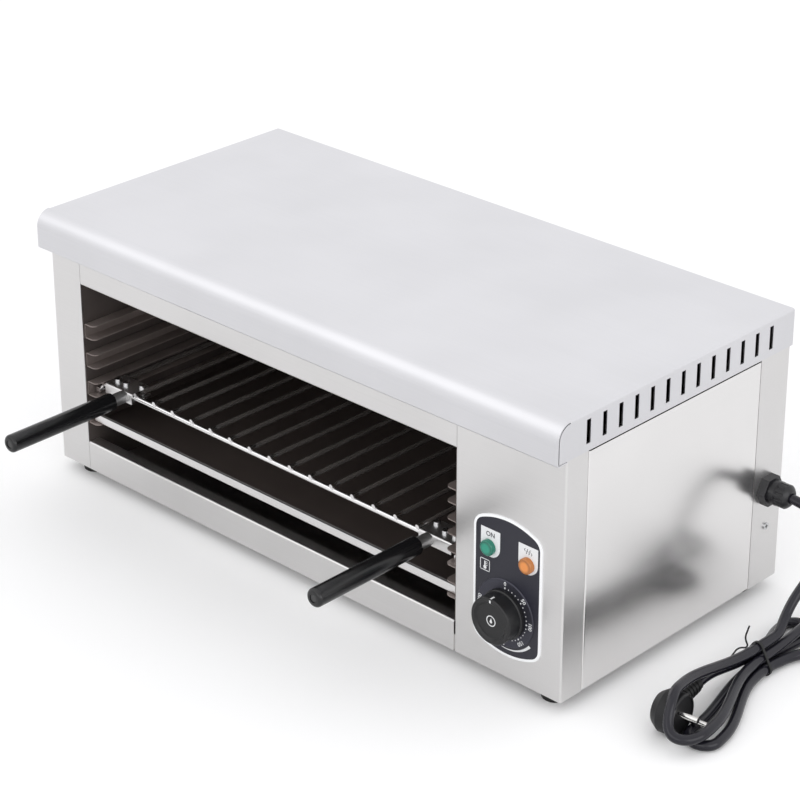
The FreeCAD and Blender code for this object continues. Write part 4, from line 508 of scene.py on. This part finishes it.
def add_text(shape, words, size, place, turn=0.0):
    """Type as a thin mesh that faces the front, turned clockwise about its own middle."""
    curve = bpy.data.curves.new("type", "FONT")
    curve.body = words
    curve.size = size
    curve.align_x = "CENTER"
    curve.align_y = "CENTER"
    curve.extrude = INK_DEPTH / 2
    curve.offset = size * TYPE_WEIGHT
    curve.resolution_u = 4
    writing = bpy.data.objects.new("type", curve)
    bpy.context.scene.collection.objects.link(writing)
    bpy.context.view_layer.update()
    mesh = bpy.data.meshes.new_from_object(writing)
    bpy.data.objects.remove(writing)
    bpy.data.curves.remove(curve)
    stand = Matrix.Rotation(turn, 4, "Y") @ Matrix.Rotation(math.pi / 2, 4, "X")
    mesh.transform(Matrix.Translation(place) @ stand)
    shape.from_mesh(mesh)
    bpy.data.meshes.remove(mesh)


def add_block(shape, size, stand):
    """A box of the given size, turned and placed by a matrix."""
    made = bmesh.ops.create_cube(shape, size=1.0)
    bmesh.ops.transform(shape, matrix=stand @ Matrix.Diagonal((*size, 1)), verts=made["verts"])


def add_bar(shape, x0, h0, x1, h1, y):
    """A thin upright rectangle of print, in metres, with its back at y."""
    place = Matrix.Translation(((x0 + x1) / 2, y - INK_DEPTH / 2, (h0 + h1) / 2))
    add_block(shape, (abs(x1 - x0), INK_DEPTH, abs(h1 - h0)), place)


def add_disc(shape, place, radius, segments=20):
    """A thin upright disc of print round a place."""
    made = bmesh.ops.create_cone(
        shape, cap_ends=True, segments=segments, radius1=radius, radius2=radius, depth=INK_DEPTH)
    stand = Matrix.Translation(place) @ Matrix.Rotation(math.pi / 2, 4, "X")
    bmesh.ops.transform(shape, matrix=stand, verts=made["verts"])


def around(middle, radius, turn):
    """A point on an upright circle, clockwise from its top."""
    return Vector((middle.x + radius * math.sin(turn), middle.y, middle.z + radius * math.cos(turn)))


def add_arc_band(shape, middle, inner, outer, start, end, y, count=24):
    """A thin flat band along an arc, with its back at y. Each radius is a pair: at its start and its end."""
    rings = []
    for i in range(count):
        share = i / (count - 1)
        turn = start + (end - start) * share
        near = inner[0] + (inner[1] - inner[0]) * share
        far = outer[0] + (outer[1] - outer[0]) * share
        corners = []
        for radius, depth in ((near, 0.0), (far, 0.0), (far, INK_DEPTH), (near, INK_DEPTH)):
            place = (middle.x + radius * math.sin(turn), y - depth, middle.z + radius * math.cos(turn))
            corners.append(shape.verts.new(place))
        rings.append([shape.edges.new((corners[k - 1], corners[k])) for k in range(4)])
        if i in (0, count - 1):
            shape.faces.new(corners)
    for a, b in zip(rings, rings[1:]):
        bmesh.ops.bridge_loops(shape, edges=a + b)


# Supply cord, in millimetres. Its middle lies at CORD_FLOOR on the table and at CORD_LAYER over another pass.

FOOT_HEIGHT = 11.0
CORD_FLOOR = 4.3 - FOOT_HEIGHT
CORD_LAYER = CORD_FLOOR + 10.6
FREE_POINTS = [
    (320.0, 257.0, 89.0), (340.0, 257.0, 89.0), (356.0, 255.5, 81.0), (365.0, 251.0, 65.0),
    (367.0, 241.0, 50.5), (365.0, 228.0, 39.0), (363.0, 214.0, 26.5), (365.0, 200.0, 15.5),
]
# Two points straight before the tie's first pass
LEAD_IN = (20.5, 8.5)
# The tie's lowest passes are lifted a little, and each pass is straight this far to both sides
WAIST_LIFT, WAIST_RUN = 1.3, 8.0
# The plug's place and turn, and the cord's way into its strain relief
PLUG_X, PLUG_V, PLUG_LEVEL, PLUG_TURN = 374.0, 43.0, 6.55, math.radians(8)
RELIEF_OFFSET, RELIEF_END, RELIEF_LEAD, RELIEF_SINK = 3.0, 46.5, 8.5, 4.0
# The cord draped over the plug: its reach from the plug's middle, then degrees round and shift to the pins
PLUG_REACH = 22.05
PLUG_DRAPE = ((95.0, 4.0), (35.0, 9.0))
DRAPE_SKEW = 0.15
# Places and headings of the turn in front of the plug
FRONT_TURN = (((397.5, 20.0), (0.88, 0.40, -0.26)), ((409.5, 42.0), (0, 1, 0)))
# Middle x, middle v and radius of each lobe
BACK_LOBE, FRONT_LOBE, INNER_LOBE = (389, 262, 20), (402, 50, 12.5), (361, 224, 12.5)
# Growth of the tangents for a quarter turn
TANGENT_GROWTH = 0.17


def tangent_length(chord, first, second):
    """Length of the tangents with which a smooth stretch comes nearest to an arc."""
    return chord * (1 + TANGENT_GROWTH * first.angle(second) / (math.pi / 2))


def stretch(knot, after, count):
    """Points of a smooth stretch from one knot to the next, its end left out."""
    a, a_way = knot
    b, b_way = after
    pull = tangent_length((b - a).length, a_way, b_way)
    for i in range(count):
        t = i / count
        yield (a * (2 * t ** 3 - 3 * t ** 2 + 1) + a_way * pull * (t ** 3 - 2 * t ** 2 + t)
               + b * (3 * t ** 2 - 2 * t ** 3) + b_way * pull * (t ** 3 - t ** 2))


def way(x, y, z):
    """A heading of length 1."""
    return Vector((x, y, z)).normalized()


def plug_spot(a, b, up):
    """A place of the plug: along its pins, towards its strain relief and up."""
    x = PLUG_X + a * math.cos(PLUG_TURN) - b * math.sin(PLUG_TURN)
    v = PLUG_V + a * math.sin(PLUG_TURN) + b * math.cos(PLUG_TURN)
    return Vector((x, v, PLUG_LEVEL + up))


def plug_way(a, b, up):
    """A heading given along the plug's own axes."""
    return way(a * math.cos(PLUG_TURN) - b * math.sin(PLUG_TURN),
               a * math.sin(PLUG_TURN) + b * math.cos(PLUG_TURN), up)


def waist(slot, heading):
    """The two knots of a straight pass through the tie."""
    sizes = bpy.context.scene.grill_cord
    step = sizes.step / MM
    rise = step * math.sqrt(3) / 2
    middle = sizes.hank_x / MM
    low = CORD_FLOOR + WAIST_LIFT
    x, h = {
        "top": (middle, low + rise * 2), "upper_left": (middle - step / 2, low + rise),
        "upper_right": (middle + step / 2, low + rise), "lower_left": (middle, low),
        "lower_right": (middle + step, low),
    }[slot]
    v = sizes.hank_v / MM
    facing = Vector((0, heading, 0))
    return [(Vector((x, v + end * WAIST_RUN * heading, h)), facing) for end in (-1, 1)]


def lobe(x, v, radius, heading, side, out_level, back_level):
    """A half turn between the outgoing run and the return."""
    middle = Vector((x, v, CORD_FLOOR))
    facing = Vector((0, heading, 0))
    across = Vector((side, 0, 0))
    return [
        (middle + across * radius + Vector((0, 0, out_level)), facing),
        (middle + facing * radius + Vector((0, 0, (out_level + back_level) / 2)), -across),
        (middle - across * radius + Vector((0, 0, back_level)), -facing),
    ]


def hank_knots():
    """Knots from the tie's first pass through all turns of the hank and into the plug."""
    layer = CORD_LAYER - CORD_FLOOR
    knots = waist("top", -1)
    for angle, shift in PLUG_DRAPE:
        turn = math.radians(angle)
        knots.append((plug_spot(shift, -PLUG_REACH * math.cos(turn), PLUG_REACH * math.sin(turn)),
                      plug_way(DRAPE_SKEW, -math.sin(turn), -math.cos(turn))))
    for (x, v), heading in FRONT_TURN:
        knots.append((Vector((x, v, CORD_LAYER)), way(*heading)))
    knots += waist("upper_right", 1) + lobe(*BACK_LOBE, 1, -1, layer, 0)
    knots += waist("lower_right", -1) + lobe(*FRONT_LOBE, -1, 1, 0, 0)
    knots += waist("lower_left", 1) + lobe(*INNER_LOBE, 1, 1, 0, 0) + waist("upper_left", -1)
    into = plug_way(0, -1, 0)
    end = plug_spot(-RELIEF_OFFSET, RELIEF_END, 0)
    return knots + [(end - into * RELIEF_LEAD, into), (end + into * RELIEF_SINK, into)]


def cord_route():
    """The free run's listed points, then the hank's turns from their knots."""
    route = [Vector(place) for place in FREE_POINTS]
    knots = hank_knots()
    start, facing = knots[0]
    route += [start - facing * run for run in LEAD_IN]
    count = bpy.context.scene.grill_cord.turn_points
    for knot, after in zip(knots, knots[1:]):
        route += stretch(knot, after, count)
    route.append(knots[-1][0])
    return [spot(*place) for place in route]


class GRILL_OT_cord(bpy.types.Operator):
    """Lay the supply cord from the gland through the tied hank to the plug"""
    bl_idname = "grill.cord"
    bl_label = "Supply Cord"

    def execute(self, context):
        sizes = context.scene.grill_cord
        route = cord_route()
        curve = bpy.data.curves.new("supply_cord", "CURVE")
        curve.dimensions = "3D"
        spline = curve.splines.new("NURBS")
        spline.points.add(len(route) - 1)
        for point, place in zip(spline.points, route):
            point.co = (*place, 1.0)
        spline.order_u = 3
        spline.use_endpoint_u = True
        curve.bevel_depth = sizes.diameter / 2
        curve.bevel_resolution = 7
        curve.resolution_u = 4
        curve.use_fill_caps = True
        cord = bpy.data.objects.new("supply_cord", curve)
        context.scene.collection.objects.link(cord)
        keep_piece(cord, "casing", "cord")
        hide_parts("power_cord", "cord_hank")
        return {"FINISHED"}


class GRILL_OT_finishes(bpy.types.Operator):
    """Make the materials and give every solid its own finish"""
    bl_idname = "grill.finishes"
    bl_label = "Finishes"

    def execute(self, context):
        make_materials()
        for material, names in NODE_FINISHES.items():
            for name in names:
                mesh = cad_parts[name].data
                mesh.materials.clear()
                mesh.materials.append(MATERIALS[material])
        return {"FINISHED"}


# Dial, knob and casing screws, in millimetres

DIAL_NUMBERS, DIAL_STEP = 7, 50
# Every fifth dot stands at a number and is larger
DOT, NUMBER_DOT, DOTS_A_NUMBER = 0.5, 0.75, 5
# The knob's pointer runs over its face, down the bevelled edge and back along its side. The places are v and
# h from the middle of the face.
POINTER_HALF = 0.75
POINTER_LOW, POINTER_HIGH = 16.7, 18.7
EDGE_LENGTH, EDGE_V, EDGE_H = 2.0, 0.66, 19.42
SIDE_LENGTH, SIDE_V, SIDE_H = 3.6, 3.2, 20.05
# The flame sign stands in a ring on the face's sunk middle
SUNK = 1.6
RING_INNER, RING_OUTER = 3.9, 4.7
BULB_RADIUS, BULB_DROP = 1.25, 0.7
FLAME_RADIUS, FLAME_TIP, FLAME_HEIGHT, FLAME_RISE = 1.15, 0.1, 2.6, 1.0
FLAME_FLATNESS = 0.1
# Cross recess of a casing screw, painted as a thin dark cross of shade
CROSS_LENGTH, CROSS_WIDTH = 3.4, 0.8


class GRILL_OT_dial_scale(bpy.types.Operator):
    """Print the dial's numbers and dots"""
    bl_idname = "grill.dial_scale"
    bl_label = "Dial Scale"

    def execute(self, context):
        sizes = context.scene.grill_dial
        shape = bmesh.new()
        middle = Vector((DIAL_MIDDLE.x, DIAL_LOW.y - INK_DEPTH / 2, DIAL_MIDDLE.z))
        for i in range(DIAL_NUMBERS):
            turn = sizes.number_pitch * i
            place = around(middle, sizes.number_radius, turn)
            add_text(shape, str(DIAL_STEP * i), sizes.number_size, place, turn)
        sweep = sizes.number_pitch * (DIAL_NUMBERS - 1)
        gaps = round(sweep / sizes.dot_pitch)
        for i in range(gaps + 1):
            radius = (NUMBER_DOT if i % DOTS_A_NUMBER == 0 else DOT) * MM
            add_disc(shape, around(middle, sizes.dot_radius, sweep * i / gaps), radius, segments=12)
        keep_piece(mesh_piece("dial_scale", shape), "casing", "ink")
        return {"FINISHED"}


class GRILL_OT_knob_marks(bpy.types.Operator):
    """Set the pointer over the knob's edge and the plain flame sign on its face"""
    bl_idname = "grill.knob_marks"
    bl_label = "Knob Marks"

    def execute(self, context):
        middle = Vector((DIAL_MIDDLE.x, KNOB_FRONT_Y, DIAL_MIDDLE.z))
        shape = bmesh.new()
        half = POINTER_HALF * MM
        add_bar(shape, middle.x - half, middle.z + POINTER_LOW * MM, middle.x + half,
                middle.z + POINTER_HIGH * MM, KNOB_FRONT_Y)
        side = Matrix.Translation(middle + Vector((0, SIDE_V * MM, SIDE_H * MM)))
        add_block(shape, (half * 2, SIDE_LENGTH * MM, INK_DEPTH), side)
        edge = Matrix.Translation(middle + Vector((0, EDGE_V * MM, EDGE_H * MM)))
        lean = Matrix.Rotation(math.radians(45), 4, "X")
        add_block(shape, (half * 2, EDGE_LENGTH * MM, INK_DEPTH), edge @ lean)

        sunk_y = KNOB_FRONT_Y + SUNK * MM
        low = Vector((middle.x, sunk_y, middle.z))
        add_arc_band(shape, low, (RING_INNER * MM,) * 2, (RING_OUTER * MM,) * 2, 0, math.radians(360),
                     sunk_y, 33)
        add_disc(shape, low + Vector((0, -INK_DEPTH / 2, -BULB_DROP * MM)), BULB_RADIUS * MM)
        flame = bmesh.ops.create_cone(
            shape, cap_ends=True, segments=16, radius1=FLAME_RADIUS * MM, radius2=FLAME_TIP * MM,
            depth=FLAME_HEIGHT * MM)["verts"]
        bmesh.ops.transform(shape, matrix=Matrix.Diagonal((1, FLAME_FLATNESS, 1, 1)), verts=flame)
        bmesh.ops.translate(shape, vec=low + Vector((0, -INK_DEPTH / 2, FLAME_RISE * MM)), verts=flame)
        keep_piece(mesh_piece("knob_marks", shape), "knob", "ink")
        return {"FINISHED"}


class GRILL_OT_screw_recess_shade(bpy.types.Operator):
    """Paint the shade in the cross recesses of the two casing screws as thin dark crosses"""
    bl_idname = "grill.screw_marks"
    bl_label = "Screw Marks"

    def execute(self, context):
        low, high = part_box("casing_screws")
        middle = (low + high) / 2
        shape = bmesh.new()
        for x in (low.x, high.x):
            for tall, wide in ((CROSS_LENGTH, CROSS_WIDTH), (CROSS_WIDTH, CROSS_LENGTH)):
                place = Matrix.Translation((x, middle.y, middle.z))
                add_block(shape, (INK_DEPTH, wide * MM, tall * MM), place)
        keep_piece(mesh_piece("screw_recess_shade", shape), "casing", "recess")
        return {"FINISHED"}


# Control panel, as x and h of the casing in millimetres

PANEL_BORDER = 2.2
# The pale tags of the power lamp and the heat lamp, with a word and a sign on them
POWER_X, HEAT_X = 226.4, 265.1
TAG_HALF, TAG_ROUND, TAG_TOP = 9.9, 111.9, 126.6
WORD_H, WORD_SIZE = 121.6, 5.8
# The heat sign's three waves, each of two bends
WAVES_H, WAVE_PITCH, BEND_OFFSET = 121.4, 2.6, 1.1
BEND_INNER, BEND_OUTER = 0.85, 1.35
BEND_TURNS = ((200, 340), (20, 160))
# The thermometer sign: its frame's corners, its stem within the frame, its bulb and its ticks
SIGN_LEFT, SIGN_LOW, SIGN_RIGHT, SIGN_HIGH, SIGN_LINE = 216, 88, 226, 98.4, 0.6
STEM_HALF, STEM_FOOT, STEM_TOP = 0.7, 2.4, 2.0
GLASS_RADIUS, GLASS_RISE = 1.6, 3.0
TICKS, TICK_NEAR, TICK_FAR, TICK_LINE, TICK_DROP, TICK_PITCH = 3, 1.2, 2.6, 0.5, 2.6, 1.6
# The rising arc round the dial's foot, which narrows to its end
ARC_INNER, ARC_OUTER, ARC_END_OUTER = 31.2, 33.6, 31.6
ARC_TURNS = (128, 186)


class GRILL_OT_panel_field(bpy.types.Operator):
    """Lay the panel's dark print inside its pale border"""
    bl_idname = "grill.panel_field"
    bl_label = "Panel Field"

    def execute(self, context):
        shape = bmesh.new()
        shape.from_mesh(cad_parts["control_plate"].data)
        bmesh.ops.remove_doubles(shape, verts=shape.verts, dist=1e-6)
        shape.normal_update()
        hidden = [face for face in shape.faces if face.normal.y > -0.9]
        bmesh.ops.delete(shape, geom=hidden, context="FACES")
        border = bmesh.ops.inset_region(shape, faces=shape.faces[:], thickness=PANEL_BORDER * MM,
                                        use_even_offset=True, use_boundary=True)
        bmesh.ops.delete(shape, geom=border["faces"], context="FACES")
        bmesh.ops.translate(shape, vec=(0, -INK_DEPTH / 3, 0), verts=shape.verts)
        bmesh.ops.solidify(shape, geom=shape.faces[:], thickness=-INK_DEPTH / 4)
        keep_piece(mesh_piece("panel_field", shape), "casing", "panel")
        return {"FINISHED"}


def add_tags(shape, y):
    """The two lamps' pale tags, with a round lower end."""
    half = TAG_HALF * MM
    for x in (POWER_X, HEAT_X):
        middle = spot(x, 0, TAG_ROUND)
        add_bar(shape, middle.x - half, middle.z, middle.x + half, spot(x, 0, TAG_TOP).z, y)
        add_disc(shape, Vector((middle.x, y - INK_DEPTH / 4, middle.z)), half, segments=48)


def add_thermometer(shape, y):
    """A thermometer with its ticks in a square frame."""
    near, far = spot(SIGN_LEFT, 0, SIGN_LOW), spot(SIGN_RIGHT, 0, SIGN_HIGH)
    left, low, right, high = near.x, near.z, far.x, far.z
    line = SIGN_LINE * MM
    add_bar(shape, left, low, left + line, high, y)
    add_bar(shape, right - line, low, right, high, y)
    add_bar(shape, left, low, right, low + line, y)
    add_bar(shape, left, high - line, right, high, y)
    stem = (left + right) / 2
    half = STEM_HALF * MM
    add_bar(shape, stem - half, low + STEM_FOOT * MM, stem + half, high - STEM_TOP * MM, y)
    add_disc(shape, Vector((stem, y - INK_DEPTH / 4, low + GLASS_RISE * MM)), GLASS_RADIUS * MM)
    for i in range(TICKS):
        h = high - (TICK_DROP + TICK_PITCH * i) * MM
        add_bar(shape, stem + TICK_NEAR * MM, h, stem + TICK_FAR * MM, h + TICK_LINE * MM, y)


def add_heat_sign(shape, y):
    """Three upright waves, each of an upper and a lower bend."""
    heat = spot(HEAT_X, 0, WAVES_H)
    for i in (-1, 0, 1):
        for part, (start, end) in enumerate(BEND_TURNS):
            rise = BEND_OFFSET - 2 * BEND_OFFSET * part
            bend = Vector((heat.x + i * WAVE_PITCH * MM, y, heat.z + rise * MM))
            add_arc_band(shape, bend, (BEND_INNER * MM,) * 2, (BEND_OUTER * MM,) * 2, math.radians(start),
                         math.radians(end), y, 9)


class GRILL_OT_panel_print(bpy.types.Operator):
    """Print the lamps' pale tags, the framed thermometer sign and the rising arc, then the tags' own print"""
    bl_idname = "grill.panel_print"
    bl_label = "Panel Print"

    def execute(self, context):
        y = PLATE_Y - INK_DEPTH * 0.6
        shape = bmesh.new()
        add_tags(shape, y)
        add_thermometer(shape, y)
        middle = Vector((DIAL_MIDDLE.x, y, DIAL_MIDDLE.z))
        start, end = ARC_TURNS
        add_arc_band(shape, middle, (ARC_INNER * MM,) * 2, (ARC_OUTER * MM, ARC_END_OUTER * MM),
                     math.radians(start), math.radians(end), y)
        keep_piece(mesh_piece("panel_print", shape), "casing", "ink")

        words = bmesh.new()
        top = y - INK_DEPTH
        place = spot(POWER_X, 0, WORD_H)
        place.y = top - INK_DEPTH / 4
        add_text(words, "ON", WORD_SIZE * MM, place)
        add_heat_sign(words, top)
        keep_piece(mesh_piece("tag_print", words), "casing", "dark_ink")
        return {"FINISHED"}


# Studio

# Name, place, aim, width and height in metres, and power in watts of each lamp
LAMPS = (
    ("key", (-1.0, -2.0, 2.4), (0, 0, 0.1), (4.0, 2.6), 12),
    ("side", (2.6, -0.3, 0.9), (0.25, 0, 0.1), (2.2, 1.5), 13),
    ("fill", (0.9, -2.2, 0.9), (0.25, -0.3, 0), (2.2, 1.0), 6),
    ("top", (0.1, 0.3, 2.8), (0, 0, 0.1), (3.2, 2.6), 2.5),
)
FLOOR_SEEN = (0.97, 0.97, 0.97)
WORLD_LIGHT = (0.99, 0.99, 1.0, 1)


def area_light(name, place, aim, size, power):
    """A soft lamp that looks from its place at its aim."""
    lamp = bpy.data.lights.new(name, "AREA")
    lamp.shape = "RECTANGLE"
    lamp.size, lamp.size_y = size
    lamp.energy = power
    thing = bpy.data.objects.new(name, lamp)
    thing.location = place
    thing.rotation_euler = (Vector(aim) - Vector(place)).to_track_quat("-Z", "Y").to_euler()
    bpy.context.scene.collection.objects.link(thing)


def pale_stage(colour):
    """Matt paper that the camera sees brighter than the grill does, with its shadows kept."""
    recipe = Recipe("pale_stage")
    clouds = recipe.noise(recipe.place(), 1.5, 2.0)
    path = recipe.add("ShaderNodeLightPath")
    seen = recipe.tint(clouds, FLOOR_SEEN, 0.998, 1.002)
    met = recipe.tint(clouds, colour, 0.995, 1.005)
    recipe.feed(recipe.mix(path.outputs["Is Camera Ray"], met, seen), "Base Color")
    return recipe.set(Roughness=0.9).material


def even_world(strength):
    """Even light from all round, and plain white where the camera sees past the floor."""
    world = bpy.data.worlds.new("studio")
    world.use_nodes = True
    nodes = world.node_tree.nodes
    links = world.node_tree.links
    nodes.clear()
    output = nodes.new("ShaderNodeOutputWorld")
    path = nodes.new("ShaderNodeLightPath")
    lit = nodes.new("ShaderNodeBackground")
    lit.inputs["Strength"].default_value = strength
    lit.inputs["Color"].default_value = WORLD_LIGHT
    white = nodes.new("ShaderNodeBackground")
    white.inputs["Strength"].default_value = 1.0
    white.inputs["Color"].default_value = (1, 1, 1, 1)
    mix = nodes.new("ShaderNodeMixShader")
    links.new(path.outputs["Is Camera Ray"], mix.inputs["Fac"])
    links.new(lit.outputs[0], mix.inputs[1])
    links.new(white.outputs[0], mix.inputs[2])
    links.new(mix.outputs[0], output.inputs["Surface"])
    return world


def studio_camera(settings):
    """The camera that the photograph was solved for."""
    camera = bpy.data.cameras.new("camera")
    camera.lens = settings.lens
    camera.sensor_width = 36
    camera.shift_y = settings.shift_y
    camera.clip_end = 50
    thing = bpy.data.objects.new("camera", camera)
    thing.location = settings.camera_place
    turn = Matrix.Rotation(settings.camera_turn, 4, "Z")
    dip = Matrix.Rotation(math.pi / 2 - settings.camera_dip, 4, "X")
    roll = Matrix.Rotation(settings.camera_roll, 4, "Z")
    thing.rotation_euler = (turn @ dip @ roll).to_euler()
    bpy.context.scene.collection.objects.link(thing)
    return thing


class GRILL_OT_stage(bpy.types.Operator):
    """Set the floor, the lamps, the even light and the camera"""
    bl_idname = "grill.stage"
    bl_label = "Stage"

    def execute(self, context):
        settings = context.scene.grill_stage
        shape = bmesh.new()
        bmesh.ops.create_grid(shape, x_segments=1, y_segments=1, size=8.0)
        floor = mesh_piece("floor", shape)
        floor.data.materials.append(pale_stage(tuple(settings.floor)))
        for lamp in LAMPS:
            area_light(*lamp)
        context.scene.world = even_world(settings.world)
        context.scene.camera = studio_camera(settings)
        context.scene.view_settings.view_transform = "Standard"
        return {"FINISHED"}


OPERATORS = (
    GRILL_OT_finishes, GRILL_OT_stage, GRILL_OT_cord, GRILL_OT_dial_scale, GRILL_OT_knob_marks,
    GRILL_OT_screw_recess_shade, GRILL_OT_panel_field, GRILL_OT_panel_print,
)


class GRILL_PT_panel(bpy.types.Panel):
    """The grill's pieces, in the order in which they are made"""
    bl_idname = "GRILL_PT_panel"
    bl_label = "Salamander Grill"
    bl_space_type = "VIEW_3D"
    bl_region_type = "UI"
    bl_category = "Grill"

    def draw(self, context):
        for operator in OPERATORS:
            self.layout.operator(operator.bl_idname)


GROUPS = {
    "grill_finish": GrillFinish,
    "grill_cord": CordSizes,
    "grill_dial": DialSizes,
    "grill_stage": StageSettings,
}


def register():
    for group in GROUPS.values():
        bpy.utils.register_class(group)
    for name, group in GROUPS.items():
        setattr(bpy.types.Scene, name, PointerProperty(type=group))
    for operator in OPERATORS:
        bpy.utils.register_class(operator)
    bpy.utils.register_class(GRILL_PT_panel)


def unregister():
    bpy.utils.unregister_class(GRILL_PT_panel)
    for operator in reversed(OPERATORS):
        bpy.utils.unregister_class(operator)
    for name, group in GROUPS.items():
        delattr(bpy.types.Scene, name)
        bpy.utils.unregister_class(group)


def main():
    """Makes every piece in turn."""
    register()
    for operator in OPERATORS:
        area, verb = operator.bl_idname.split(".")
        getattr(getattr(bpy.ops, area), verb)()


if __name__ == "__main__":
    main()
